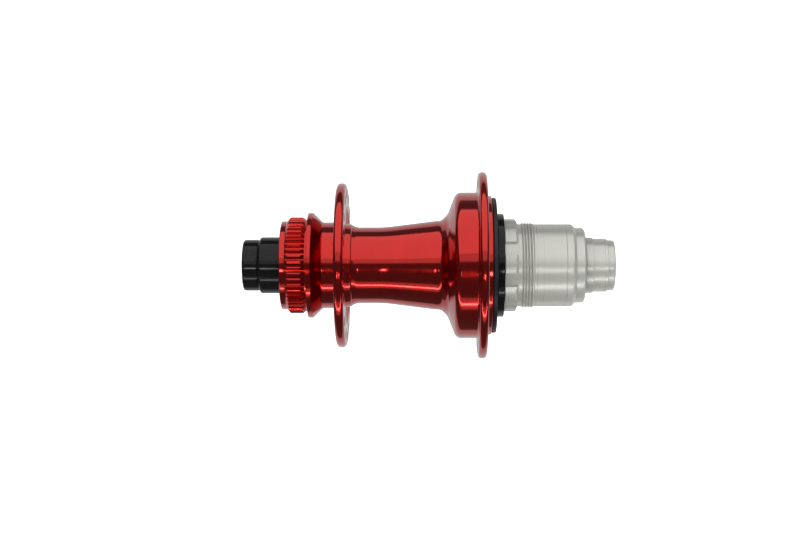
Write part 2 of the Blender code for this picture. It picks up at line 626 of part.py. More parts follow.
def driver_outer_profile():
    """The freehub body's outside from its drum to its outer end."""
    spline_start = SHELL_RIGHT + DRIVER_SPLINE_START
    spline_end = SHELL_RIGHT + DRIVER_SPLINE_END
    groove_start = SHELL_RIGHT + DRIVER_GROOVE_START
    thread_start = SHELL_RIGHT + DRIVER_THREAD_START
    step_start = DRIVER_END - DRIVER_STEP_LENGTH
    points = [
        (DRUM_LEFT, DRUM_R), (DRUM_RIGHT, DRUM_R), (DRUM_RIGHT, DRIVER_NECK_R),
        (spline_start, DRIVER_NECK_R), (spline_start, DRIVER_SPLINE_R),
        (spline_end, DRIVER_SPLINE_R), (groove_start, DRIVER_NECK_R),
        (groove_start, DRIVER_GROOVE_R), (thread_start, DRIVER_GROOVE_R),
    ]
    for i in range(THREAD_TURNS):
        root = thread_start + (i + 1) * THREAD_PITCH
        points += [(root - THREAD_PITCH / 2, THREAD_CREST_R), (root, THREAD_ROOT_R)]
    points += [
        (root + THREAD_PITCH / 5, DRIVER_R),
        (step_start - DRIVER_EDGE, DRIVER_R), (step_start, DRIVER_STEP_R + DRIVER_STEP_RISE),
        (step_start, DRIVER_STEP_R), (DRIVER_END - DRIVER_STEP_EDGE, DRIVER_STEP_R),
        (DRIVER_END, DRIVER_STEP_R - DRIVER_STEP_EDGE),
    ]
    return points


def driver_inner_profile():
    """The freehub body's inside from its outer end back to its drum."""
    groove_end = DRIVER_END - CIRCLIP_GROOVE_WALL
    groove_start = OUTBOARD_BEARING_X + SMALL_BEARING_WIDTH + 0.5 * FIT
    groove_r = SMALL_SEAT_R + CIRCLIP_DEPTH
    return [
        (DRIVER_END, SMALL_SEAT_R), (groove_end, SMALL_SEAT_R), (groove_end, groove_r),
        (groove_start, groove_r), (groove_start, SMALL_SEAT_R),
        (OUTBOARD_BEARING_X - FIT, SMALL_SEAT_R), (OUTBOARD_BEARING_X - FIT, DRIVER_BORE_R),
        (INBOARD_BEARING_X + BEARING_WIDTH + FIT, DRIVER_BORE_R),
        (INBOARD_BEARING_X + BEARING_WIDTH + FIT, SEAT_R), (DRUM_LEFT, SEAT_R),
    ]


def driver_valley_cutter():
    """The hollows between the lands that turn the cassette."""
    pitch = 2 * math.pi / DRIVER_LANDS
    start = SHELL_RIGHT + DRIVER_SPLINE_START - CUT_PAST / 2
    end = SHELL_RIGHT + DRIVER_GROOVE_START + CUT_PAST / 2
    bm = bmesh.new()
    for i in range(DRIVER_LANDS):
        first = LAND_PHASE + i * pitch + LAND_WIDTH / 2
        last = LAND_PHASE + (i + 1) * pitch - LAND_WIDTH / 2
        inner = arc(DRIVER_NECK_R + DRIVER_VALLEY_STEP, first, last, 2)
        outer = arc(DRIVER_SPLINE_R + CUT_PAST, last, first, 2)
        add_prism(bm, inner + outer, start, end)
    return add_object("driver_valley_cutter", bm)


def pawl_point(theta, along, out):
    """Y and Z of a point measured from a pawl's pivot: along the drum and outwards."""
    y = along * math.cos(theta) + (PIVOT_R + out) * math.sin(theta)
    z = -along * math.sin(theta) + (PIVOT_R + out) * math.cos(theta)
    return y, z


def pawl_angles():
    return [PAWL_PHASE + 2 * math.pi * i / PAWL_COUNT for i in range(PAWL_COUNT)]


def pawl_pocket_cutter():
    """A pocket for each pawl: a round seat for its heel and a flat floor under its nose."""
    seat_r = PAWL_HEEL_R + PAWL_GAP
    floor = POCKET_FLOOR_R - PIVOT_R
    above = DRUM_R - PIVOT_R + CUT_PAST
    half = PAWL_WIDTH / 2 + FIT
    bm = bmesh.new()
    for theta in pawl_angles():
        outline = [pawl_point(theta, -seat_r, above)]
        for degrees in (180, 210, 240):
            angle = math.radians(degrees)
            outline.append(pawl_point(theta, seat_r * math.cos(angle), seat_r * math.sin(angle)))
        outline += [pawl_point(theta, -PAWL_POCKET_CORNER, floor),
                    pawl_point(theta, PAWL_POCKET_LENGTH, floor),
                    pawl_point(theta, PAWL_POCKET_LENGTH, above)]
        add_prism(bm, outline, RATCHET_X - half, RATCHET_X + half)
    return add_object("pawl_pocket_cutter", bm)


def add_freehub_body(material, group):
    profile = driver_outer_profile() + driver_inner_profile()
    body = add_object("freehub_body", turned_mesh(profile, DRIVER_FACETS), material, group)
    add_boolean(body, driver_valley_cutter(), "DIFFERENCE")
    add_boolean(body, pawl_pocket_cutter(), "DIFFERENCE")


def pawl_outline():
    """A pawl's section, as (along, out) from its pivot: round heel, sloped back, sharp nose."""
    tip_r = RATCHET_VALLEY_R - TOOTH_DEPTH * PAWL_TIP_GAP / RATCHET_PITCH - PAWL_GAP
    shoulder_r = RATCHET_TIP_R - PAWL_GAP
    shoulder_angle = PAWL_REACH + PAWL_TIP_GAP - RATCHET_PITCH
    tip = (tip_r * math.sin(PAWL_REACH), tip_r * math.cos(PAWL_REACH) - PIVOT_R)
    shoulder = (shoulder_r * math.sin(shoulder_angle),
                shoulder_r * math.cos(shoulder_angle) - PIVOT_R)
    nose_r = tip_r - PAWL_NOSE_DEPTH
    nose = (nose_r * math.sin(PAWL_REACH), nose_r * math.cos(PAWL_REACH) - PIVOT_R)
    heel = [(PAWL_HEEL_R * math.cos(math.radians(a)), PAWL_HEEL_R * math.sin(math.radians(a)))
            for a in (90, 120, 150, 180, 210, 240, 270)]
    return [tip, shoulder] + heel + [nose]


def turn_point(theta, along, out):
    """A point of a pawl's section turned to the pawl's place round the drum."""
    return (along * math.cos(theta) + out * math.sin(theta),
            -along * math.sin(theta) + out * math.cos(theta))


def add_pawls(steel, groups):
    for number, (theta, group) in enumerate(zip(pawl_angles(), groups), start=1):
        outline = [turn_point(theta, along, out) for along, out in pawl_outline()]
        bm = bmesh.new()
        add_prism(bm, outline, -PAWL_WIDTH / 2, PAWL_WIDTH / 2)
        piece = add_object("pawl_%d" % number, bm, steel)
        pivot = Vector((RATCHET_X, *polar(PIVOT_R, theta)))
        group.location = pivot
        piece.parent = group


def leaf_outline(theta):
    """A leaf spring's section: a thin strip that lies on the pocket's floor and bows upwards."""
    floor = POCKET_FLOOR_R - PIVOT_R + FIT / 2
    low, high = [], []
    for i in range(LEAF_STEPS + 1):
        share = i / LEAF_STEPS
        along = LEAF_START + LEAF_LENGTH * share
        rise = floor + LEAF_RISE * share ** 2
        low.append(pawl_point(theta, along, rise))
        high.append(pawl_point(theta, along, rise + LEAF_THICKNESS))
    return low + high[::-1]


def add_pawl_springs(steel, group):
    half = PAWL_WIDTH / 2 - LEAF_SIDE_GAP
    for number, theta in enumerate(pawl_angles(), start=1):
        bm = bmesh.new()
        add_prism(bm, leaf_outline(theta), RATCHET_X - half, RATCHET_X + half)
        add_object("pawl_spring_%d" % number, bm, steel, group)


def add_circlip(steel, group):
    """The open ring that keeps the outer bearing in the freehub body."""
    start = OUTBOARD_BEARING_X + SMALL_BEARING_WIDTH + FIT + CIRCLIP_SIDE_GAP
    profile = ring_profile(start, start + CIRCLIP_WIDTH, SMALL_BEARING_R - 2 * CIRCLIP_DEPTH,
                           SMALL_SEAT_R + CIRCLIP_DEPTH - FIT)
    clip = add_object("freehub_circlip", turned_mesh(profile, BEARING_FACETS), steel, group)
    half = CIRCLIP_GAP / 2
    top = SMALL_SEAT_R + CIRCLIP_DEPTH + CUT_PAST
    outline = [(-half, 0.0), (half, 0.0), (half, top), (-half, top)]
    bm = bmesh.new()
    add_prism(bm, outline, start - CUT_PAST, start + CIRCLIP_WIDTH + CUT_PAST)
    add_boolean(clip, add_object("circlip_gap_cutter", bm), "DIFFERENCE")


def add_freehub_seal(rubber, group):
    """A rubber disc over the shell's open end, with a lip that reaches into the housing."""
    inner_r = DRIVER_NECK_R + FIT
    end = SEAL_X + SEAL_WIDTH
    profile = [
        (SEAL_X, inner_r),
        (SEAL_X, SEAL_LIP_R - SEAL_LIP_WALL),
        (SEAL_X - SEAL_LIP_LENGTH, SEAL_LIP_R - SEAL_LIP_WALL),
        (SEAL_X - SEAL_LIP_LENGTH, SEAL_LIP_R),
        (SEAL_X, SEAL_LIP_R),
        (SEAL_X, SEAL_R),
        (end - SEAL_EDGE, SEAL_R),
        (end, SEAL_R - SEAL_EDGE),
        (end, inner_r),
    ]
    add_object("freehub_seal", turned_mesh(profile, DRIVER_FACETS), rubber, group)


def add_freehub_collar(material, group):
    """The black collar between the seal and the splines, which the cassette butts against."""
    inner_r = DRIVER_NECK_R + FIT
    recess_r = DRIVER_SPLINE_R + FIT
    end = COLLAR_X + COLLAR_WIDTH
    profile = [
        (COLLAR_X, inner_r),
        (COLLAR_X, COLLAR_R),
        (end, COLLAR_R),
        (end, recess_r),
        (end - COLLAR_RECESS, recess_r),
        (end - COLLAR_RECESS, inner_r),
    ]
    add_object("freehub_collar", turned_mesh(profile, DRIVER_FACETS), material, group)


def main():
    clear_scene()
    red = make_material("red_anodised_aluminium", (0.55, 0.02, 0.012), 1.0, 0.2)
    black = make_material("black_anodised_aluminium", (0.012, 0.012, 0.013), 0.6, 0.25)
    silver = make_material("turned_aluminium", (0.72, 0.72, 0.7), 1.0, 0.3)
    steel = make_material("hardened_steel", (0.42, 0.42, 0.43), 1.0, 0.35)
    rubber = make_material("black_rubber", (0.01, 0.01, 0.01), 0.0, 0.6)

    axle_group = make_group("axle_group")
    wheel_group = make_group("wheel_group")
    driver_group = make_group("driver_group")
    cage_groups = [make_group("cage_group_%d" % i) for i in range(1, 5)]
    pawl_groups = [make_group("pawl_group_%d" % i) for i in range(1, PAWL_COUNT + 1)]

    add_axle(silver, axle_group)
    add_spacers(silver, axle_group)
    add_o_rings(rubber, axle_group)
    add_left_cap(black, axle_group)
    add_right_cap(silver, axle_group)

    add_shell(red, wheel_group)
    add_dust_seal(rubber, wheel_group)
    add_ratchet_ring(steel, wheel_group)

    add_freehub_body(silver, driver_group)
    add_freehub_seal(rubber, driver_group)
    add_freehub_collar(black, driver_group)
    add_circlip(steel, driver_group)
    add_pawl_springs(steel, driver_group)
    add_pawls(steel, pawl_groups)

    large = (BEARING_WIDTH, BEARING_R)
    small = (SMALL_BEARING_WIDTH, SMALL_BEARING_R)
    bearings = (
        ("left_bearing", LEFT_BEARING_X, large, wheel_group),
        ("right_bearing", RIGHT_BEARING_X, large, wheel_group),
        ("freehub_inner_bearing", INBOARD_BEARING_X, large, driver_group),
        ("freehub_outer_bearing", OUTBOARD_BEARING_X, small, driver_group),
    )
    for (prefix, x, (width, outer_r), outer_group), cage_group in zip(bearings, cage_groups):
        groups = (axle_group, outer_group, cage_group)
        add_bearing(prefix, x, width, outer_r, steel, rubber, groups)


main()
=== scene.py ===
"""Finished look of a rear bicycle hub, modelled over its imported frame.

The axle lies along X with the brake side at -X and the drive side at +X, and +Z is up. Angles
about the axle run from +Z towards +Y. Sizes are in metres. The sidebar's Hub tab has one button
for each group of pieces, and run as a script the file models them all in turn.
"""

import json
import math

import bmesh
import bpy
from mathutils import Matrix, Vector


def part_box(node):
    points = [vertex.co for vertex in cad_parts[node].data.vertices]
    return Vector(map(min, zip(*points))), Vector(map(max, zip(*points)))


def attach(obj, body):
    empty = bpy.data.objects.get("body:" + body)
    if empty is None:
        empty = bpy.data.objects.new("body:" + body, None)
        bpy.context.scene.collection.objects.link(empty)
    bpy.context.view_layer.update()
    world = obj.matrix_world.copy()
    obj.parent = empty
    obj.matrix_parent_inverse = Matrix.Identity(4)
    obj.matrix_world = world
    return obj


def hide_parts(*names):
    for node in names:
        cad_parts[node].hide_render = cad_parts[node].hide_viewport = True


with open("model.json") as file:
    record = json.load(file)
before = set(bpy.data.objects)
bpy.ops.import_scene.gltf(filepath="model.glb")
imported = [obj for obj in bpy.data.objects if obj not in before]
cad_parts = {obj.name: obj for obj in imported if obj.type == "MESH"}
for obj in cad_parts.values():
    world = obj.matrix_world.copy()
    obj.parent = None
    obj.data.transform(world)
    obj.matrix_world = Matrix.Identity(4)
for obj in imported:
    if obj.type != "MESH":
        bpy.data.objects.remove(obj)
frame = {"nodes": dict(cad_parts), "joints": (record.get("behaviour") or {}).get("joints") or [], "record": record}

bl_info = {
    "name": "Rear hub finish",
    "version": (1, 0, 0),
    "blender": (4, 5, 0),
    "location": "View3D > Sidebar > Hub",
    "description": "Models the turned pieces of a rear bicycle hub over its packed frame",
    "category": "Object",
}

MM = 0.001
FULL_TURN = 2 * math.pi
MERGE = 0.002 * MM                     # points closer than this are one point
SMOOTH_ANGLE = math.radians(28)

AXLE_R = 8.5 * MM                      # the axle, which the bearings and end caps slide on
BORE_BEVEL = 0.4 * MM                  # at the mouth of an end cap's bore
SEAT_BEVEL = 0.6 * MM                  # at the brake-side mouth of the shell
DRIVER_BORE_R = 12.0 * MM              # freehub's bore between its two bearings
OUTER_SEAT_R = 13.3 * MM               # bore that the small outer freehub bearing sits in
DRIVER_STEP_R = 15.0 * MM              # freehub's stepped end
DISH_R = 24.0 * MM                     # edge of the shallow dish in the brake-side flange
GAP = 0.3 * MM                         # between neighbouring pieces that mustn't touch
FIRST_SPOKE_HOLE = math.radians(-5)
FIRST_LAND = math.radians(-48.7)       # middle of the first cassette land
LAND_ARC = math.radians(22.8)

SMALL_STEPS = 72                       # facets round races, rings and spacers
AXLE_STEPS = 96                        # round the axle, its caps, the dust seal and the thread
COVER_STEPS = 128                      # round the seal disc and the collar
DRIVER_STEPS = 144                     # round the freehub
CLIP_STEPS = 90
STEPS_PER_SPLINE_TOOTH = 4             # of the shell

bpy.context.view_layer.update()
MOUNTS = {mount["name"]: Vector(mount["pos_m"]) for mount in frame["record"]["mounts"]}
PAWL_JOINTS = [joint for joint in frame["joints"] if joint["name"].startswith("pawl_")]
BEARINGS = ("left_bearing", "right_bearing", "freehub_inner_bearing", "freehub_outer_bearing")


def span(node):
    """Where a turned node starts and ends along the axle, and its outer radius."""
    low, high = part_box(node)
    return low.x, high.x, high.z


SHELL_LEFT, SHELL_RIGHT, RIGHT_FLANGE_R = span("hub_shell")
DRUM_LEFT, DRIVER_END, DRUM_R = span("freehub_body")
LEFT_END, LEFT_CAP_END, LEFT_CAP_R = span("left_end_cap")
RIGHT_CAP_START, RIGHT_END, RIGHT_CAP_R = span("right_end_cap")
ROTOR_SEAT_X = MOUNTS["rotor_seat_face"].x
LEFT_FLANGE_FACE_X = MOUNTS["left_spoke_flange_face"].x
RIGHT_FLANGE_FACE_X = MOUNTS["right_spoke_flange_face"].x


def linear(hex_colour):
    """A colour written as sRGB hex, in the linear values that shaders take."""
    values = [int(hex_colour[i:i + 2], 16) / 255 for i in (0, 2, 4)]
    return [v / 12.92 if v <= 0.04045 else ((v + 0.055) / 1.055) ** 2.4 for v in values]


def length_property(name, description, millimetres):
    return bpy.props.FloatProperty(name=name, description=description, default=millimetres * MM,
                                   min=0.0, subtype="DISTANCE", unit="LENGTH", precision=5)


def colour_property(name, description, hex_colour):
    return bpy.props.FloatVectorProperty(name=name, description=description, size=3, min=0.0,
                                         max=1.0, subtype="COLOR", default=linear(hex_colour))


class HubSizes(bpy.types.PropertyGroup):
    """Sizes that the frame's boxes and mounts don't give."""

    bore_radius: length_property("Bore radius", "Clears the thru-axle", 6.3)
    bearing_seat_radius: length_property("Bearing seat", "Bore that a hub bearing sits in", 15.3)
    pilot_radius: length_property("Pilot radius", "Plain end before the rotor spline", 17.65)
    spline_tip_radius: length_property("Spline tips", "Rotor spline over its teeth", 19.2)
    spline_height: length_property("Spline height", "Depth of the rotor spline's teeth", 1.2)
    rim_radius: length_property("Rotor rim", "Rim that the rotor rests against", 21.05)
    neck_radius: length_property("Neck radius", "Neck beside the brake-side flange", 17.2)
    left_flange_radius: length_property("Left flange", "Radius of the brake-side flange", 32.85)
    left_hole_circle: length_property("Left hole circle", "Radius of its spoke holes", 28.5)
    right_hole_circle: length_property("Right hole circle", "Radius of its spoke holes", 33.0)
    left_flange_width: length_property("Left flange width", "Thickness of that flange", 3.8)
    right_flange_width: length_property("Right flange width", "Thickness of that flange", 3.5)
    spoke_hole_radius: length_property("Spoke hole", "Radius of a spoke hole", 1.3)
    barrel_radius: length_property("Barrel radius", "Radius of the barrel's straight part", 15.2)
    housing_radius: length_property("Housing radius", "Radius round the ratchet", 29.2)
    driver_neck_radius: length_property("Driver neck", "Freehub between drum and lands", 17.3)
    land_radius: length_property("Land radius", "Freehub over its cassette lands", 18.5)
    thread_radius: length_property("Thread radius", "Freehub thread over its crests", 17.05)
    driver_radius: length_property("Driver radius", "Freehub's plain outer part", 16.45)
    thread_pitch: length_property("Thread pitch", "Distance between thread crests", 1.15)
    spoke_holes: bpy.props.IntProperty(name="Spoke holes", description="Holes in each flange",
                                       default=16, min=4)
    spline_teeth: bpy.props.IntProperty(name="Spline teeth", description="On the rotor spline",
                                        default=52, min=8)
    driver_lands: bpy.props.IntProperty(name="Driver lands", description="Lands for the cassette",
                                        default=9, min=3)


class HubFinishes(bpy.types.PropertyGroup):
    """Colours and surface sizes of the hub's finishes."""

    red_dye: colour_property("Red dye", "Dyed oxide on the shell", "CD170C")
    black_dye: colour_property("Black dye", "Dyed oxide on cap and collar", "0C0C0C")
    aluminium: colour_property("Aluminium", "Bare turned aluminium", "BCBCB6")
    steel: colour_property("Steel", "Hardened and ground steel", "A9A8A6")
    rubber: colour_property("Rubber", "Seals and bearing shields", "0F0F10")
    paper: colour_property("Sweep", "Pale floor and backdrop", "F4F4F2")
    turning_feed: length_property("Turning feed", "Distance between tool marks", 0.4)


# ---- Modelling helpers ----

def make_active(piece):
    """Selects one piece alone, so that an operator acts on nothing else."""
    bpy.ops.object.select_all(action="DESELECT")
    piece.select_set(True)
    bpy.context.view_layer.objects.active = piece


def keep_name(piece, name):
    piece.name = name
    piece.data.name = name
    return piece


def select_points(piece, wanted):
    """Selects the points of the piece in edit mode whose place passes a test."""
    bm = bmesh.from_edit_mesh(piece.data)
    for vert in bm.verts:
        vert.select = wanted(vert.co)
    bm.select_flush_mode()
    bmesh.update_edit_mesh(piece.data)


def draw_loop(name, points):
    """Starts at one point and extrudes it through the others and back. Leaves edit mode on."""
    bpy.ops.object.select_all(action="DESELECT")
    bpy.ops.mesh.primitive_plane_add(size=MM, location=points[0])
    piece = keep_name(bpy.context.object, name)
    bpy.ops.object.transform_apply(location=True, rotation=True, scale=True)
    bpy.ops.object.mode_set(mode="EDIT")
    bpy.ops.mesh.select_mode(type="VERT")
    bpy.ops.mesh.select_all(action="SELECT")
    bpy.ops.mesh.merge(type="CENTER")
    path = [Vector(point) for point in points]
    for here, there in zip(path, path[1:] + path[:1]):
        bpy.ops.mesh.extrude_region_move(TRANSFORM_OT_translate={"value": there - here})
    bpy.ops.mesh.select_all(action="SELECT")
    bpy.ops.mesh.remove_doubles(threshold=MERGE)
    return piece


def close_solid():
    """Merges doubles and turns all faces outwards, in edit mode, then leaves it."""
    bpy.ops.mesh.select_all(action="SELECT")
    bpy.ops.mesh.remove_doubles(threshold=MERGE)
    bpy.ops.mesh.normals_make_consistent(inside=False)
    bpy.ops.object.mode_set(mode="OBJECT")


def turned(name, corners, steps, angle=FULL_TURN, rounding_steps=4):
    """Spins an outline about the axle. Each corner is (x, radius) or (x, radius, cut-back).

    A cut-back is how far before and after the corner its rounding starts.
    """
    piece = draw_loop(name, [(corner[0], 0.0, corner[1]) for corner in corners])
    rounded = [corner for corner in corners if len(corner) > 2]
    for cut_back in sorted({corner[2] for corner in rounded}):
        places = [Vector((c[0], 0.0, c[1])) for c in rounded if c[2] == cut_back]
        select_points(piece, lambda co: any((co - place).length < MERGE for place in places))
        bpy.ops.mesh.bevel(offset=cut_back, segments=rounding_steps, affect="VERTICES")
    bpy.ops.mesh.select_all(action="SELECT")
    bpy.ops.mesh.spin(steps=steps, angle=angle, center=(0, 0, 0), axis=(1, 0, 0))
    bpy.ops.mesh.select_all(action="SELECT")
    bpy.ops.mesh.remove_doubles(threshold=MERGE)
    if angle < FULL_TURN:
        bpy.ops.mesh.fill_holes(sides=0)
    close_solid()
    return piece


def ring(name, start, end, inner, outer, cut_back, steps, rounding_steps=4):
    """A plain ring with its four edges rounded."""
    corners = [(start, inner, cut_back), (start, outer, cut_back),
               (end, outer, cut_back), (end, inner, cut_back)]
    return turned(name, corners, steps, rounding_steps=rounding_steps)


def bar(name, points, length):
    """A straight bar along X whose end has the given points."""
    piece = draw_loop(name, points)
    bpy.ops.mesh.edge_face_add()
    bpy.ops.mesh.extrude_region_move(TRANSFORM_OT_translate={"value": (length, 0, 0)})
    close_solid()
    return piece


def apply_modifier(piece, kind, **settings):
    make_active(piece)
    bpy.ops.object.modifier_add(type=kind)
    modifier = piece.modifiers[-1]
    for name, value in settings.items():
        setattr(modifier, name, value)
    bpy.ops.object.modifier_apply(modifier=modifier.name)


def turn_about_axle(piece, angle):
    """Turns a finished mesh about the axle, from +Z towards +Y."""
    piece.data.transform(Matrix.Rotation(-angle, 4, "X"))


def repeat_round_axle(piece, count):
    """Copies a piece evenly round the axle within its own mesh."""
    turner = bpy.data.objects.new("turner", None)
    bpy.context.scene.collection.objects.link(turner)
    turner.rotation_euler.x = FULL_TURN / count
    bpy.context.view_layer.update()
    apply_modifier(piece, "ARRAY", count=count, use_relative_offset=False,
                   use_object_offset=True, offset_object=turner)
    bpy.data.objects.remove(turner, do_unlink=True)


def cut(piece, cutter):
    """Takes the cutter's shape out of the piece and deletes the cutter."""
    apply_modifier(piece, "BOOLEAN", operation="DIFFERENCE", solver="EXACT", object=cutter)
    bpy.data.objects.remove(cutter, do_unlink=True)


def complete(piece, material, body, slot, *nodes):
    """Smooths a piece, gives it its finish and sets what it rides on and stands for."""
    make_active(piece)
    bpy.ops.object.shade_smooth_by_angle(angle=SMOOTH_ANGLE)
    apply_modifier(piece, "WEIGHTED_NORMAL", keep_sharp=True)
    piece.data.materials.clear()
    piece.data.materials.append(material)
    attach(piece, body)
    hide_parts(*nodes)


def polar(x, radius, angle):
    return (x, radius * math.sin(angle), radius * math.cos(angle))


# ---- Finishes ----

def add_node(material, kind, links=None, **settings):
    """Adds a node, sets its properties or sockets, and links sockets from other nodes' outputs."""
    node = material.node_tree.nodes.new(kind)
    for name, value in settings.items():
        if hasattr(node, name):
            setattr(node, name, value)
        else:
            node.inputs[name.replace("_", " ")].default_value = value
    for socket, output in (links or {}).items():
        material.node_tree.links.new(output, node.inputs[socket])
    return node


def new_material(name):
    """The material and its shader, or the material and None if it was made before."""
    material = bpy.data.materials.get(name)
    if material:
        return material, None
    material = bpy.data.materials.new(name)
    material.use_nodes = True
    return material, material.node_tree.nodes["Principled BSDF"]


def set_shader(shader, **settings):
    for name, value in settings.items():
        shader.inputs[name.replace("_", " ")].default_value = value


def turning_marks(material, feed):
    """Object coordinates, and a pattern of fine rings about the axle as a lathe tool leaves.

    The pattern reads the place along the axle and the distance from it, so that it makes rings
    on cylinders, cones and flat flange faces alike.
    """
    place = add_node(material, "ShaderNodeTexCoord")
    apart = add_node(material, "ShaderNodeSeparateXYZ", {"Vector": place.outputs["Object"]})
    across = add_node(material, "ShaderNodeCombineXYZ",
                      {"Y": apart.outputs["Y"], "Z": apart.outputs["Z"]})
    radius = add_node(material, "ShaderNodeVectorMath", {0: across.outputs["Vector"]},
                      operation="LENGTH")
    section = add_node(material, "ShaderNodeCombineXYZ",
                       {"X": apart.outputs["X"], "Y": radius.outputs["Value"]})
    rings = add_node(material, "ShaderNodeTexNoise", {"Vector": section.outputs["Vector"]},
                     noise_dimensions="2D", Scale=1 / feed, Detail=2.0, Roughness=0.6)
    return place.outputs["Object"], rings.outputs["Fac"]


def mottle(material, place, size, detail=3.0):
    """A soft cloudy pattern of the given size."""
    cloud = add_node(material, "ShaderNodeTexNoise", {"Vector": place},
                     noise_dimensions="3D", Scale=1 / size, Detail=detail, Roughness=0.55)
    return cloud.outputs["Fac"]


def vary_colour(material, shader, factor, colour, darker):
    """Mixes a colour with a slightly darker one by a pattern."""
    ramp = add_node(material, "ShaderNodeValToRGB", {"Fac": factor})
    ramp.color_ramp.elements[0].position = 0.3
    ramp.color_ramp.elements[1].position = 0.7
    ramp.color_ramp.elements[0].color = (*[v * darker for v in colour], 1.0)
    ramp.color_ramp.elements[1].color = (*colour, 1.0)
    material.node_tree.links.new(ramp.outputs["Color"], shader.inputs["Base Color"])


def vary_roughness(material, shader, factor, low, high):
    """Sets the roughness between two values by a pattern."""
    spread = add_node(material, "ShaderNodeMapRange", {"Value": factor},
                      From_Min=0.25, From_Max=0.75, To_Min=low, To_Max=high)
    material.node_tree.links.new(spread.outputs["Result"], shader.inputs["Roughness"])


def add_bump(material, shader, factor, strength, depth):
    bump = add_node(material, "ShaderNodeBump", {"Height": factor},
                    Strength=strength, Distance=depth)
    material.node_tree.links.new(bump.outputs["Normal"], shader.inputs["Normal"])


def red_anodised(finishes):
    """Polished, anodised and dyed aluminium: deep red mirror under a clear hard oxide skin."""
    material, shader = new_material("dyed_red_oxide_on_aluminium")
    if shader:
        place, rings = turning_marks(material, finishes.turning_feed)
        cloud = mottle(material, place, size=9 * MM)
        vary_colour(material, shader, cloud, finishes.red_dye, darker=0.93)
        vary_roughness(material, shader, rings, low=0.10, high=0.17)
        add_bump(material, shader, rings, strength=0.05, depth=0.02 * MM)
        # The oxide adds a colourless gloss that washes out the red at grazing angles.
        set_shader(shader, Metallic=1.0, Coat_Weight=1.0, Coat_Roughness=0.08, Coat_IOR=1.45)
    return material


def black_anodised(finishes):
    """Anodised and dyed black: dark satin that still shows sharp thin highlights."""
    material, shader = new_material("dyed_black_oxide_on_aluminium")
    if shader:
        place, rings = turning_marks(material, finishes.turning_feed)
        cloud = mottle(material, place, size=6 * MM)
        vary_colour(material, shader, cloud, finishes.black_dye, darker=0.8)
        vary_roughness(material, shader, rings, low=0.07, high=0.13)
        add_bump(material, shader, rings, strength=0.06, depth=0.02 * MM)
        set_shader(shader, Metallic=0.0, Specular_IOR_Level=0.3)
    return material


def turned_aluminium(finishes):
    """Bare aluminium as it left the lathe: bright, with soft rings and blurred reflections."""
    material, shader = new_material("bare_turned_aluminium")
    if shader:
        _, rings = turning_marks(material, finishes.turning_feed)
        vary_colour(material, shader, rings, finishes.aluminium, darker=0.96)
        vary_roughness(material, shader, rings, low=0.27, high=0.33)
        add_bump(material, shader, rings, strength=0.04, depth=0.03 * MM)
        # Less than a full metal, for the light that the fine tool marks scatter all ways.
        set_shader(shader, Metallic=0.64)
    return material


def hardened_steel(finishes):
    """Hardened and ground bearing steel: grey, fairly smooth, with faint grinding rings."""
    material, shader = new_material("ground_bearing_steel")
    if shader:
        place, rings = turning_marks(material, finishes.turning_feed / 2)
        cloud = mottle(material, place, size=4 * MM)
        vary_colour(material, shader, cloud, finishes.steel, darker=0.85)
        vary_roughness(material, shader, rings, low=0.22, high=0.32)
        add_bump(material, shader, rings, strength=0.08, depth=0.01 * MM)
        set_shader(shader, Metallic=1.0)
    return material


def moulded_rubber(finishes):
    """Nitrile rubber from a mould: near black with a soft sheen and a fine grain."""
    material, shader = new_material("moulded_nitrile_rubber")
    if shader:
        place, rings = turning_marks(material, finishes.turning_feed)
        grain = mottle(material, place, size=0.5 * MM, detail=4.0)
        vary_colour(material, shader, rings, finishes.rubber, darker=0.7)
        vary_roughness(material, shader, grain, low=0.35, high=0.5)
        add_bump(material, shader, grain, strength=0.12, depth=0.02 * MM)
        set_shader(shader, Metallic=0.0, IOR=1.52)
    return material


def sweep_paper(finishes):
    """Lit matt acrylic sheet: an even pale floor that keeps shadows faint."""
    material, shader = new_material("pale_matt_acrylic")
    if shader:
        place = add_node(material, "ShaderNodeTexCoord").outputs["Object"]
        cloud = mottle(material, place, size=400 * MM)
        vary_colour(material, shader, cloud, finishes.paper, darker=0.99)
        set_shader(shader, Roughness=0.9, Specular_IOR_Level=0.0,
                   Emission_Color=(1.0, 1.0, 1.0, 1.0), Emission_Strength=0.62)
    return material


# ---- The shell ----

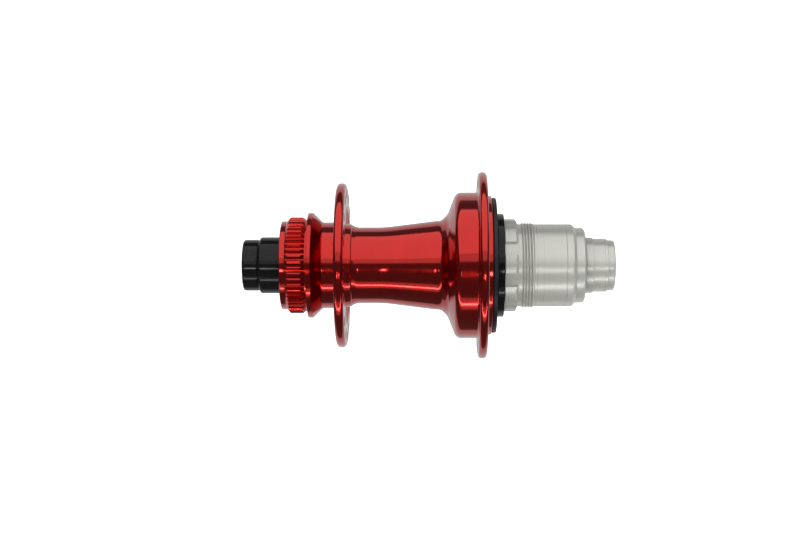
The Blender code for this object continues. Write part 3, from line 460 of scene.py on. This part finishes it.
def shell_outside(sizes):
    """Corners of the shell's outside from the brake side to the drive side.

    The barrel is placed from the brake-side flange and the housing from the drive-side end.
    """
    left_face = LEFT_FLANGE_FACE_X + sizes.left_flange_width
    right_face = RIGHT_FLANGE_FACE_X
    root = sizes.spline_tip_radius - sizes.spline_height
    barrel = sizes.barrel_radius
    housing = sizes.housing_radius
    left_round = sizes.left_flange_width * 0.4
    right_round = sizes.right_flange_width * 0.42
    spline_start = SHELL_LEFT + 2.2 * MM
    rim_end = ROTOR_SEAT_X + 1.8 * MM
    undercut = ROTOR_SEAT_X - 0.7 * MM
    dish_floor = left_face - 0.7 * MM
    land = sizes.bearing_seat_radius + 2.5 * MM
    lip = housing - 1.35 * MM
    return [
        (SHELL_LEFT, sizes.bearing_seat_radius + SEAT_BEVEL),
        (SHELL_LEFT, sizes.pilot_radius, 0.5 * MM),
        (spline_start, sizes.pilot_radius, 0.1 * MM),
        (spline_start + 1.3 * MM, sizes.spline_tip_radius, 0.15 * MM),
        (ROTOR_SEAT_X - 2.2 * MM, sizes.spline_tip_radius, 0.15 * MM),
        (undercut, root + 0.1 * MM),
        (undercut, root - 0.2 * MM),
        (ROTOR_SEAT_X, root - 0.2 * MM),
        (ROTOR_SEAT_X, sizes.rim_radius, 0.25 * MM),
        (rim_end, sizes.rim_radius, 0.2 * MM),
        (rim_end + sizes.rim_radius - sizes.neck_radius, sizes.neck_radius, 0.7 * MM),
        (LEFT_FLANGE_FACE_X, sizes.neck_radius, 0.9 * MM),
        (LEFT_FLANGE_FACE_X, sizes.left_flange_radius, left_round),
        (left_face, sizes.left_flange_radius, left_round),
        (left_face, DISH_R, 0.3 * MM),
        (dish_floor, DISH_R - 0.7 * MM, 0.3 * MM),
        (dish_floor, barrel + 1.7 * MM, 0.5 * MM),
        (left_face + 2.0 * MM, barrel + 1.2 * MM, 0.15 * MM),
        (left_face + 2.25 * MM, barrel + 0.85 * MM, 0.15 * MM),
        (left_face + 4.25 * MM, barrel, 0.9 * MM),
        (left_face + 14.95 * MM, barrel, 2.5 * MM),
        (SHELL_RIGHT - 22.0 * MM, land, 0.7 * MM),
        (SHELL_RIGHT - 20.2 * MM, land, 0.8 * MM),
        (SHELL_RIGHT - 17.5 * MM, land + 2.4 * MM, 1.3 * MM),
        (SHELL_RIGHT - 14.4 * MM, housing - 1.0 * MM, 0.9 * MM),
        (SHELL_RIGHT - 12.8 * MM, housing, 0.7 * MM),
        (right_face - sizes.right_flange_width, housing, 0.7 * MM),
        (right_face - sizes.right_flange_width, RIGHT_FLANGE_R, right_round),
        (right_face, RIGHT_FLANGE_R, right_round),
        (right_face, lip, 0.5 * MM),
        (SHELL_RIGHT, lip, 0.35 * MM),
    ]


def shell_inside(sizes):
    """Corners of the shell's inside from the drive side back to the brake side."""
    seat = sizes.bearing_seat_radius
    between = seat - 3.1 * MM
    bore = sizes.housing_radius - 3.2 * MM
    left_lip = span("left_bearing_outer_race")[1] + GAP
    right_lip = span("right_bearing_outer_race")[0] - GAP
    return [
        (SHELL_RIGHT, bore + 0.4 * MM), (SHELL_RIGHT - 0.4 * MM, bore),
        (SHELL_RIGHT - 11.6 * MM, bore), (SHELL_RIGHT - 14.7 * MM, seat + 3.9 * MM),
        (SHELL_RIGHT - 16.3 * MM, seat), (right_lip, seat), (right_lip, between),
        (left_lip, between), (left_lip, seat), (SHELL_LEFT + SEAT_BEVEL, seat),
    ]


def spline_valleys(sizes):
    """A wedge for one valley of the rotor spline, repeated round the axle."""
    root = sizes.spline_tip_radius - sizes.spline_height
    pitch = FULL_TURN / sizes.spline_teeth
    start = SHELL_LEFT + 1.2 * MM
    crown = sizes.spline_tip_radius - 0.25 * MM
    top = sizes.spline_tip_radius + 0.02 * MM
    past = top + 0.5 * MM
    # Radii with shares of the pitch: steep flanks up to the crown of a tooth, a low roof.
    half_outline = ((root, 0.1), (crown, 0.3), (top, 0.48), (past, 0.48))
    outline = [polar(start, radius, -share * pitch) for radius, share in half_outline]
    outline += [polar(start, radius, share * pitch) for radius, share in reversed(half_outline)]
    wedge = bar("valley", outline, ROTOR_SEAT_X - 0.35 * MM - start)
    repeat_round_axle(wedge, sizes.spline_teeth)
    return wedge


def spoke_drills(sizes, face_x, width, circle_radius, first_angle):
    """A drill with a flare at each face, repeated round the flange that starts at face_x."""
    half = width / 2
    hole = sizes.spoke_hole_radius
    flare = 0.85 * MM
    past = 0.6 * MM
    drill = turned("drill", [
        (-half - past, 0.0), (-half - past, hole + past + flare),
        (-half + flare, hole), (half - flare, hole),
        (half + past, hole + past + flare), (half + past, 0.0)], steps=20)
    drill.data.transform(Matrix.Translation((face_x + half, 0.0, circle_radius)))
    turn_about_axle(drill, first_angle)
    repeat_round_axle(drill, sizes.spoke_holes)
    return drill


class HUB_OT_shell(bpy.types.Operator):
    """Turns the red shell, cuts its rotor spline and drills both flanges"""

    bl_idname = "hub.shell"
    bl_label = "Shell"

    def execute(self, context):
        sizes = context.scene.hub_sizes
        corners = shell_outside(sizes) + shell_inside(sizes)
        steps = STEPS_PER_SPLINE_TOOTH * sizes.spline_teeth
        shell = turned("shell", corners, steps, rounding_steps=5)
        cut(shell, spline_valleys(sizes))
        cut(shell, spoke_drills(sizes, LEFT_FLANGE_FACE_X, sizes.left_flange_width,
                                sizes.left_hole_circle, FIRST_SPOKE_HOLE))
        # The drive side's holes stand half a step round from the brake side's.
        half_step = math.pi / sizes.spoke_holes
        width = sizes.right_flange_width
        cut(shell, spoke_drills(sizes, RIGHT_FLANGE_FACE_X - width, width,
                                sizes.right_hole_circle, FIRST_SPOKE_HOLE + half_step))
        complete(shell, red_anodised(context.scene.hub_finishes), "wheel_group",
                 "red_anodised_aluminium", "hub_shell")
        return {"FINISHED"}


# ---- End caps, axle and spacers ----

class HUB_OT_end_caps(bpy.types.Operator):
    """Turns the black cap of the brake side and the stepped silver cap of the drive side"""

    bl_idname = "hub.end_caps"
    bl_label = "End caps"

    def execute(self, context):
        bore = context.scene.hub_sizes.bore_radius
        finishes = context.scene.hub_finishes
        axle_depth = 5.7 * MM        # from a cap's end face to the end of the axle inside it
        axle_start = LEFT_END + axle_depth
        nose_end = LEFT_END + 5.8 * MM
        nose_r = LEFT_CAP_R - 1.05 * MM
        left = turned("brake_side_cap", [
            (LEFT_END + BORE_BEVEL, bore), (LEFT_END, bore + BORE_BEVEL),
            (LEFT_END, nose_r, 0.9 * MM), (nose_end, nose_r, 0.15 * MM),
            (nose_end + 0.3 * MM, nose_r - 0.25 * MM, 0.1 * MM),
            (nose_end + 1.3 * MM, LEFT_CAP_R, 0.35 * MM), (LEFT_CAP_END, LEFT_CAP_R, 0.2 * MM),
            (LEFT_CAP_END, AXLE_R), (axle_start, AXLE_R), (axle_start, bore)], AXLE_STEPS)
        complete(left, black_anodised(finishes), "axle_group", "black_anodised_aluminium",
                 "left_end_cap")

        axle_end = RIGHT_END - axle_depth
        tip_start = RIGHT_END - 2.9 * MM
        tip_r = RIGHT_CAP_R - 1.05 * MM
        middle_start = RIGHT_END - 8.6 * MM
        middle_r = RIGHT_CAP_R - 0.5 * MM
        rim_start = DRIVER_END + 0.4 * MM
        boss_r = span("freehub_outer_bearing_inner_race")[2]
        right = turned("drive_side_cap", [
            (RIGHT_END - BORE_BEVEL, bore), (RIGHT_END, bore + BORE_BEVEL),
            (RIGHT_END, tip_r, 0.8 * MM),
            (tip_start, tip_r, 0.05 * MM), (tip_start, middle_r, 0.15 * MM),
            (middle_start, middle_r, 0.05 * MM), (middle_start, RIGHT_CAP_R, 0.15 * MM),
            (rim_start, RIGHT_CAP_R, 0.15 * MM), (rim_start, boss_r), (RIGHT_CAP_START, boss_r),
            (RIGHT_CAP_START, AXLE_R), (axle_end, AXLE_R), (axle_end, bore)], AXLE_STEPS)
        complete(right, turned_aluminium(finishes), "axle_group", "turned_aluminium",
                 "right_end_cap")
        return {"FINISHED"}


def ring_groove(node, outside):
    """Corners of the groove in the axle that an O-ring sits in."""
    low, high, _ = span(node)
    middle = (low + high) / 2
    half = 0.8 * MM
    floor = outside - 0.9 * MM
    return [(middle - half, outside), (middle - half, floor, 0.2 * MM),
            (middle + half, floor, 0.2 * MM), (middle + half, outside)]


class HUB_OT_axle(bpy.types.Operator):
    """Turns the hollow axle, its spacers and the rings that hold the caps on"""

    bl_idname = "hub.axle"
    bl_label = "Axle"

    def execute(self, context):
        bore = context.scene.hub_sizes.bore_radius
        finishes = context.scene.hub_finishes
        start, end, shoulder_r = span("axle")
        outside = shoulder_r - 1.4 * MM
        shoulder_start = span("left_bearing_inner_race")[1] + GAP
        shoulder_end = span("right_bearing_inner_race")[0] - GAP
        corners = [(start, bore), (start, outside, 0.3 * MM)]
        corners += ring_groove("left_cap_o_ring", outside)
        corners += [(shoulder_start, outside), (shoulder_start, shoulder_r, 0.2 * MM),
                    (shoulder_end, shoulder_r, 0.2 * MM), (shoulder_end, outside)]
        corners += ring_groove("right_cap_o_ring", outside)
        corners += [(end, outside, 0.3 * MM), (end, bore)]
        aluminium = turned_aluminium(finishes)
        axle = turned("axle_tube", corners, AXLE_STEPS)
        complete(axle, aluminium, "axle_group", "turned_aluminium", "axle")
        for node in ("hub_spacer", "freehub_spacer"):
            low, high, radius = span(node)
            inner = radius - 1.5 * MM
            tube = turned(node + "_tube", [(low, inner), (low, radius, 0.2 * MM),
                                           (high, radius, 0.2 * MM), (high, inner)], SMALL_STEPS)
            complete(tube, aluminium, "axle_group", "turned_aluminium", node)
        for node in ("left_cap_o_ring", "right_cap_o_ring"):
            low, high, radius = span(node)
            half = (high - low) / 2
            middle = (low + high) / 2
            # A cut-back of 0.55 of half its section makes a square ring nearly round.
            seal = ring(node + "_round", middle - half, middle + half, radius - 2 * half, radius,
                        0.55 * half, SMALL_STEPS)
            complete(seal, moulded_rubber(finishes), "axle_group", "black_rubber", node)
        return {"FINISHED"}


# ---- Freehub ----

def driver_outline(sizes):
    """Corners of the freehub body, outside from the drum to its end and then back inside."""
    lands_start = MOUNTS["cassette_stop_face"].x + 0.2 * MM
    lands_end = lands_start + 4.4 * MM
    groove_end = lands_end + 2.4 * MM
    thread_end = groove_end + 4 * sizes.thread_pitch
    step = DRIVER_END - 3.8 * MM
    scribe = step - 3.9 * MM
    neck = sizes.driver_neck_radius
    groove_floor = neck - 0.8 * MM
    plain = sizes.driver_radius
    drum_end = SHELL_RIGHT - 2.7 * MM
    seat = sizes.bearing_seat_radius
    inner_end = span("freehub_inner_bearing_outer_race")[1] + GAP
    outer_start = span("freehub_outer_bearing_outer_race")[0] - GAP
    clip_start = span("freehub_circlip")[0] - GAP
    clip_end = DRIVER_END - 1.0 * MM
    clip_groove_r = OUTER_SEAT_R + 0.7 * MM
    outside = [
        (DRUM_LEFT, DRUM_R, 0.4 * MM), (drum_end, DRUM_R, 0.4 * MM), (drum_end, neck, 0.3 * MM),
        (lands_start, neck), (lands_start, sizes.land_radius, 0.15 * MM),
        (lands_end, sizes.land_radius, 0.3 * MM), (lands_end + 0.7 * MM, neck),
        (lands_end + 0.7 * MM, groove_floor, 0.2 * MM), (groove_end, groove_floor, 0.1 * MM),
        (groove_end + 0.35 * MM, sizes.thread_radius, 0.06 * MM),
        (thread_end - 0.1 * MM, sizes.thread_radius, 0.06 * MM), (thread_end + 0.25 * MM, plain),
        (scribe - 0.14 * MM, plain), (scribe, plain - 0.16 * MM), (scribe + 0.14 * MM, plain),
        (step - 1.2 * MM, plain, 0.35 * MM), (step, DRIVER_STEP_R + 0.3 * MM, 0.08 * MM),
        (step, DRIVER_STEP_R), (DRIVER_END - 0.7 * MM, DRIVER_STEP_R, 0.25 * MM),
        (DRIVER_END, DRIVER_STEP_R - 0.7 * MM, 0.12 * MM),
    ]
    inside = [
        (DRIVER_END, OUTER_SEAT_R + 0.25 * MM), (DRIVER_END - 0.25 * MM, OUTER_SEAT_R),
        (clip_end, OUTER_SEAT_R), (clip_end, clip_groove_r), (clip_start, clip_groove_r),
        (clip_start, OUTER_SEAT_R), (outer_start, OUTER_SEAT_R), (outer_start, DRIVER_BORE_R),
        (inner_end, DRIVER_BORE_R), (inner_end, seat), (DRUM_LEFT, seat),
    ]
    return outside + inside


def thread_groove(sizes):
    """A V-shaped groove that winds round the freehub, one pitch for each turn."""
    start = MOUNTS["cassette_stop_face"].x + 6.85 * MM
    crest = sizes.thread_radius + 0.1 * MM
    depth = 0.75 * MM
    half = 0.42 * sizes.thread_pitch
    turns = 5
    groove = draw_loop("thread_groove", [(start - half, 0.0, crest), (start, 0.0, crest - depth),
                                         (start + half, 0.0, crest)])
    bpy.ops.object.mode_set(mode="OBJECT")
    apply_modifier(groove, "SCREW", axis="X", angle=FULL_TURN, steps=AXLE_STEPS,
                   render_steps=AXLE_STEPS, screw_offset=sizes.thread_pitch, iterations=turns,
                   use_merge_vertices=False, use_smooth_shade=False)
    bpy.ops.object.mode_set(mode="EDIT")
    bpy.ops.mesh.select_all(action="SELECT")
    bpy.ops.mesh.remove_doubles(threshold=MERGE)
    bpy.ops.mesh.fill_holes(sides=0)
    close_solid()
    return groove


def land_gaps(sizes):
    """The hollow between two cassette lands, repeated round the freehub."""
    start = MOUNTS["cassette_stop_face"].x - 0.3 * MM
    end = start + 6.2 * MM
    low = sizes.driver_neck_radius + 0.1 * MM
    high = sizes.land_radius + 1.0 * MM
    width = FULL_TURN / sizes.driver_lands - LAND_ARC
    gap = turned("gap", [(start, low), (start, high), (end, high), (end, low)], steps=8,
                 angle=width)
    turn_about_axle(gap, FIRST_LAND + LAND_ARC / 2)    # it starts where a land ends
    repeat_round_axle(gap, sizes.driver_lands)
    return gap


def pawl_pocket():
    """The pocket for one pawl: a round seat for its heel and a flat floor, repeated for all.

    Its outline is drawn from the pawl's pivot, along the freehub's skin and outwards.
    """
    low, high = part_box("pawl_1")
    start = low.x - GAP
    pivot = Vector(PAWL_JOINTS[0]["pos_m"])
    reach = math.hypot(pivot.y, pivot.z)
    heel = 1.8 * MM
    heel_end = -0.54 * MM
    floor = -1.95 * MM
    top = DRUM_R - reach + 1.0 * MM
    length = 7.3 * MM
    outline = [(-heel, top)]
    for degrees in range(180, 241, 15):
        angle = math.radians(degrees)
        outline.append((heel * math.cos(angle), heel * math.sin(angle)))
    outline += [(heel_end, floor), (length, floor), (length, top)]
    pocket = bar("pocket", [(start, along, reach + out) for along, out in outline],
                 high.x - low.x + 2 * GAP)
    turn_about_axle(pocket, math.atan2(pivot.y, pivot.z))
    repeat_round_axle(pocket, len(PAWL_JOINTS))
    return pocket


class HUB_OT_freehub_body(bpy.types.Operator):
    """Turns the silver freehub body, winds its thread and cuts its lands and pawl pockets"""

    bl_idname = "hub.freehub_body"
    bl_label = "Freehub body"

    def execute(self, context):
        sizes = context.scene.hub_sizes
        driver = turned("freehub", driver_outline(sizes), DRIVER_STEPS)
        cut(driver, land_gaps(sizes))
        cut(driver, pawl_pocket())
        cut(driver, thread_groove(sizes))
        complete(driver, turned_aluminium(context.scene.hub_finishes), "driver_group",
                 "turned_aluminium", "freehub_body")
        return {"FINISHED"}


class HUB_OT_freehub_covers(bpy.types.Operator):
    """Turns the seal disc, the collar behind the cassette and the brake-side dust seal"""

    bl_idname = "hub.freehub_covers"
    bl_label = "Seals and collar"

    def execute(self, context):
        finishes = context.scene.hub_finishes
        start, end, radius = span("freehub_seal")
        face = SHELL_RIGHT + GAP
        inner = context.scene.hub_sizes.driver_neck_radius + GAP
        lip = radius - 1.75 * MM
        lip_inner = lip - 1.3 * MM
        groove = end - 0.3 * MM
        disc = turned("seal_disc", [
            (face, inner), (face, lip_inner), (start, lip_inner, 0.2 * MM),
            (start, lip, 0.2 * MM), (face, lip), (face, radius, 0.2 * MM),
            (end, radius, 0.45 * MM),
            (end, radius - 2.6 * MM, 0.1 * MM), (groove, radius - 2.9 * MM, 0.1 * MM),
            (groove, radius - 4.2 * MM, 0.1 * MM), (end, radius - 4.5 * MM, 0.1 * MM),
            (end, inner)], COVER_STEPS)
        complete(disc, moulded_rubber(finishes), "driver_group", "black_rubber", "freehub_seal")

        start, end, radius = span("freehub_collar")
        recess_r = context.scene.hub_sizes.land_radius + GAP
        recess_floor = end - 0.6 * MM
        collar = turned("cassette_collar", [
            (start, inner), (start, radius, 0.3 * MM), (end, radius, 0.3 * MM),
            (end, recess_r, 0.1 * MM), (recess_floor, recess_r), (recess_floor, inner)],
            COVER_STEPS)
        complete(collar, black_anodised(finishes), "driver_group", "black_anodised_aluminium",
                 "freehub_collar")

        start, end, radius = span("left_dust_seal")
        inner = LEFT_CAP_R + 0.45 * MM
        bevel = 0.3 * MM
        dust_seal = turned("dust_seal_lip", [
            (start, radius), (start, inner + 1.0 * MM, 0.2 * MM), (start + bevel, inner, 0.1 * MM),
            (end - bevel, inner, 0.1 * MM), (end, inner + 0.7 * MM, 0.2 * MM), (end, radius)],
            AXLE_STEPS)
        complete(dust_seal, moulded_rubber(finishes), "wheel_group", "black_rubber",
                 "left_dust_seal")
        return {"FINISHED"}


# ---- Bearings and ratchet ----

BALLS_PER_BEARING = 8
BALL_SHARE = 4 / 13                    # a ball's radius over the room from bore to outside


def race(name, x_start, x_end, face, back, middle_r, ball_r):
    """A race with a round track. face is the radius beside the balls and back the other one."""
    track = ball_r + GAP
    half = math.sqrt(track ** 2 - (middle_r - face) ** 2)
    side = 1 if face < middle_r else -1
    middle = (x_start + x_end) / 2
    edge = math.atan2(half, abs(middle_r - face))
    corners = [(x_start, back, 0.25 * MM), (x_start, face, 0.15 * MM)]
    for i in range(-4, 5):
        angle = edge * i / 4
        corners.append((middle + track * math.sin(angle),
                        middle_r - side * track * math.cos(angle)))
    corners += [(x_end, face, 0.15 * MM), (x_end, back, 0.25 * MM)]
    return turned(name, corners, SMALL_STEPS)


def balls_in_cage(name, x_start, x_end, middle_r, ball_r):
    """A ring of cage with the balls that it carries, as one solid."""
    middle = (x_start + x_end) / 2
    half_wall = 0.55 * MM
    cage = ring(name, x_start, x_end, middle_r - half_wall, middle_r + half_wall, 0.1 * MM,
                SMALL_STEPS)
    bpy.ops.object.select_all(action="DESELECT")
    bpy.ops.mesh.primitive_uv_sphere_add(segments=20, ring_count=12, radius=ball_r,
                                         location=(middle, 0.0, middle_r))
    ball = keep_name(bpy.context.object, "ball")
    bpy.ops.object.transform_apply(location=True, rotation=True, scale=True)
    repeat_round_axle(ball, BALLS_PER_BEARING)
    apply_modifier(cage, "BOOLEAN", operation="UNION", solver="EXACT", object=ball)
    bpy.data.objects.remove(ball, do_unlink=True)
    return cage


class HUB_OT_bearings(bpy.types.Operator):
    """Turns the races, shields and ball cages of the four cartridge bearings"""

    bl_idname = "hub.bearings"
    bl_label = "Bearings"

    def execute(self, context):
        steel = hardened_steel(context.scene.hub_finishes)
        rubber = moulded_rubber(context.scene.hub_finishes)
        owners = {node: body for body, nodes in frame["record"]["behaviour"]["bodies"].items()
                  for node in nodes}
        for prefix in BEARINGS:
            low, high, inner_face = span(prefix + "_inner_race")
            outer_r = span(prefix + "_outer_race")[2]
            outer_face = outer_r - (inner_face - AXLE_R)
            middle_r = (AXLE_R + outer_r) / 2
            ball_r = (outer_r - AXLE_R) * BALL_SHARE
            inner = race(prefix + "_inner", low, high, inner_face, AXLE_R, middle_r, ball_r)
            outer = race(prefix + "_outer", low, high, outer_face, outer_r, middle_r, ball_r)
            cage_start, cage_end, _ = span(prefix + "_ball_cage")
            shield_room = 1.0 * MM
            half = min((cage_end - cage_start) / 2, (high - low) / 2 - shield_room)
            middle = (low + high) / 2
            cage = balls_in_cage(prefix + "_balls", middle - half, middle + half, middle_r, ball_r)
            steel_pieces = {"_inner_race": inner, "_outer_race": outer, "_ball_cage": cage}
            for suffix, piece in steel_pieces.items():
                node = prefix + suffix
                complete(piece, steel, owners[node], "hardened_steel", node)
            for suffix in ("_shield_left", "_shield_right"):
                node = prefix + suffix
                start, end, radius = span(node)
                shield = ring(node + "_lip", start, end, inner_face + GAP, radius, 0.1 * MM,
                              SMALL_STEPS, rounding_steps=2)
                complete(shield, rubber, owners[node], "black_rubber", node)
        return {"FINISHED"}


class HUB_OT_ratchet(bpy.types.Operator):
    """Turns the circlip and gives the ratchet ring, pawls and springs their steel finish"""

    bl_idname = "hub.ratchet"
    bl_label = "Ratchet and pawls"

    def execute(self, context):
        steel = hardened_steel(context.scene.hub_finishes)
        start, end, radius = span("freehub_circlip")
        clip = ring("circlip", start, end, radius - 2.1 * MM, radius, 0.1 * MM, CLIP_STEPS)
        half = 2.5 * MM
        past = 1.0 * MM
        near, top = start - past, radius + past
        outline = [(near, -half, 0.0), (near, half, 0.0), (near, half, top), (near, -half, top)]
        cut(clip, bar("clip_gap", outline, end - start + 2 * past))
        complete(clip, steel, "driver_group", "hardened_steel", "freehub_circlip")
        for name, node in frame["nodes"].items():
            if name == "ratchet_ring" or name.startswith("pawl_"):
                for material_slot in node.material_slots:
                    material_slot.material = steel
        return {"FINISHED"}


# ---- Stage ----

FLOOR_Z = -115 * MM
FLOOR_RADIUS = 3.0
BEND_STEPS = 8                         # of the quarter circle, 1 m in radius, up to the wall
WALL_HEIGHT = 2.5
CAMERA_DISTANCE = 0.62
CAMERA_OFFSET = 0.5 * MM               # to the right of the hub's centre, and below it
SEEN_WIDTH = 320.8 * MM                # what the picture spans at the axle
SENSOR_WIDTH = 36.0
SIDE_SHIFT = -0.0375                   # the hub stands right of the picture's middle
WORLD_STRENGTH = 0.1                   # faint light from all round

# Name, degrees above the viewer's side, distance, height, length, radiance, place along X
SOFT_BOXES = (
    ("overhead_box", 57, 1.2, 2.0, 3.4, 0.93, 0.0),
    ("front_box", 11, 1.7, 0.32, 3.0, 0.6, 0.0),
    ("back_box", 180, 1.4, 4.4, 4.0, 0.42, 0.0),
    ("low_box", -62, 1.3, 0.48, 3.0, 0.4, 0.0),
    ("low_strip", -63, 1.28, 0.06, 3.0, 7.0, 0.0),
    ("left_front_strip", -14, 1.5, 0.13, 0.08, 9.0, -0.255),
    ("right_front_strip", -14, 1.5, 0.13, 0.17, 10.0, 0.2),
)


def add_panel(name, elevation, distance, height, length, radiance, x):
    """A soft box that faces the hub, hidden from the camera."""
    light = bpy.data.lights.new(name, "AREA")
    light.shape = "RECTANGLE"
    light.size = length
    light.size_y = height
    light.energy = radiance * math.pi * length * height
    panel = bpy.data.objects.new(name, light)
    angle = math.radians(elevation)
    towards = Vector((0.0, -math.cos(angle), math.sin(angle)))
    panel.location = towards * distance + Vector((x, 0.0, 0.0))
    panel.rotation_euler = (math.pi / 2 - angle, 0.0, 0.0)
    panel.visible_camera = False
    bpy.context.scene.collection.objects.link(panel)


class HUB_OT_stage(bpy.types.Operator):
    """Adds the pale sweep, the soft boxes and the camera"""

    bl_idname = "hub.stage"
    bl_label = "Stage"

    def execute(self, context):
        scene = context.scene
        bpy.ops.object.select_all(action="DESELECT")
        bpy.ops.mesh.primitive_circle_add(vertices=96, radius=FLOOR_RADIUS, fill_type="NGON",
                                          location=(0.0, 0.0, FLOOR_Z))
        sweep = keep_name(context.object, "sweep")
        bpy.ops.object.mode_set(mode="EDIT")
        bpy.ops.mesh.select_all(action="SELECT")
        # Each step of the bend goes up and then outwards.
        for i in range(1, BEND_STEPS + 1):
            turn = math.pi / 2 * i / BEND_STEPS
            before = math.pi / 2 * (i - 1) / BEND_STEPS
            out = math.sin(turn) - math.sin(before)
            up = math.cos(before) - math.cos(turn)
            grown = FLOOR_RADIUS + math.sin(turn)
            growth = grown / (grown - out)
            bpy.ops.mesh.extrude_region_move(TRANSFORM_OT_translate={"value": (0, 0, up)})
            bpy.ops.transform.resize(value=(growth, growth, 1))
        bpy.ops.mesh.extrude_region_move(TRANSFORM_OT_translate={"value": (0, 0, WALL_HEIGHT)})
        bpy.ops.mesh.delete(type="ONLY_FACE")
        bpy.ops.object.mode_set(mode="OBJECT")
        bpy.ops.object.transform_apply(location=True, rotation=True, scale=True)
        bpy.ops.object.shade_smooth()
        sweep.data.materials.append(sweep_paper(scene.hub_finishes))
        # Glossy rays and shadow rays pass the sweep, so the hub mirrors the soft boxes alone.
        sweep.visible_glossy = False
        sweep.visible_shadow = False

        for soft_box in SOFT_BOXES:
            add_panel(*soft_box)

        world = bpy.data.worlds.new("dim_studio")
        world.use_nodes = True
        background = world.node_tree.nodes["Background"]
        background.inputs["Color"].default_value = (1.0, 1.0, 1.0, 1.0)
        background.inputs["Strength"].default_value = WORLD_STRENGTH
        scene.world = world
        scene.view_settings.view_transform = "Standard"

        camera_data = bpy.data.cameras.new("camera")
        camera_data.sensor_width = SENSOR_WIDTH
        camera_data.lens = SENSOR_WIDTH * CAMERA_DISTANCE / SEEN_WIDTH
        camera_data.shift_x = SIDE_SHIFT
        camera = bpy.data.objects.new("camera", camera_data)
        camera.location = (CAMERA_OFFSET, -CAMERA_DISTANCE, -CAMERA_OFFSET)
        camera.rotation_euler = (math.pi / 2, 0.0, 0.0)
        scene.collection.objects.link(camera)
        scene.camera = camera
        return {"FINISHED"}


class HUB_PT_pieces(bpy.types.Panel):
    """Lists the hub's pieces, sizes and finishes"""

    bl_idname = "HUB_PT_pieces"
    bl_label = "Rear hub"
    bl_space_type = "VIEW_3D"
    bl_region_type = "UI"
    bl_category = "Hub"

    def draw(self, context):
        for operator in OPERATORS:
            self.layout.operator(operator.bl_idname)
        for group in (context.scene.hub_sizes, context.scene.hub_finishes):
            column = self.layout.column()
            for name in group.__annotations__:
                column.prop(group, name)


OPERATORS = (HUB_OT_shell, HUB_OT_end_caps, HUB_OT_axle, HUB_OT_freehub_body,
             HUB_OT_freehub_covers, HUB_OT_bearings, HUB_OT_ratchet, HUB_OT_stage)
CLASSES = (HubSizes, HubFinishes, *OPERATORS, HUB_PT_pieces)


def register():
    for item in CLASSES:
        bpy.utils.register_class(item)
    bpy.types.Scene.hub_sizes = bpy.props.PointerProperty(type=HubSizes)
    bpy.types.Scene.hub_finishes = bpy.props.PointerProperty(type=HubFinishes)


def unregister():
    del bpy.types.Scene.hub_finishes
    del bpy.types.Scene.hub_sizes
    for item in reversed(CLASSES):
        bpy.utils.unregister_class(item)


def main():
    register()
    bpy.ops.hub.shell()
    bpy.ops.hub.end_caps()
    bpy.ops.hub.axle()
    bpy.ops.hub.freehub_body()
    bpy.ops.hub.freehub_covers()
    bpy.ops.hub.bearings()
    bpy.ops.hub.ratchet()
    bpy.ops.hub.stage()


if __name__ == "__main__":
    main()
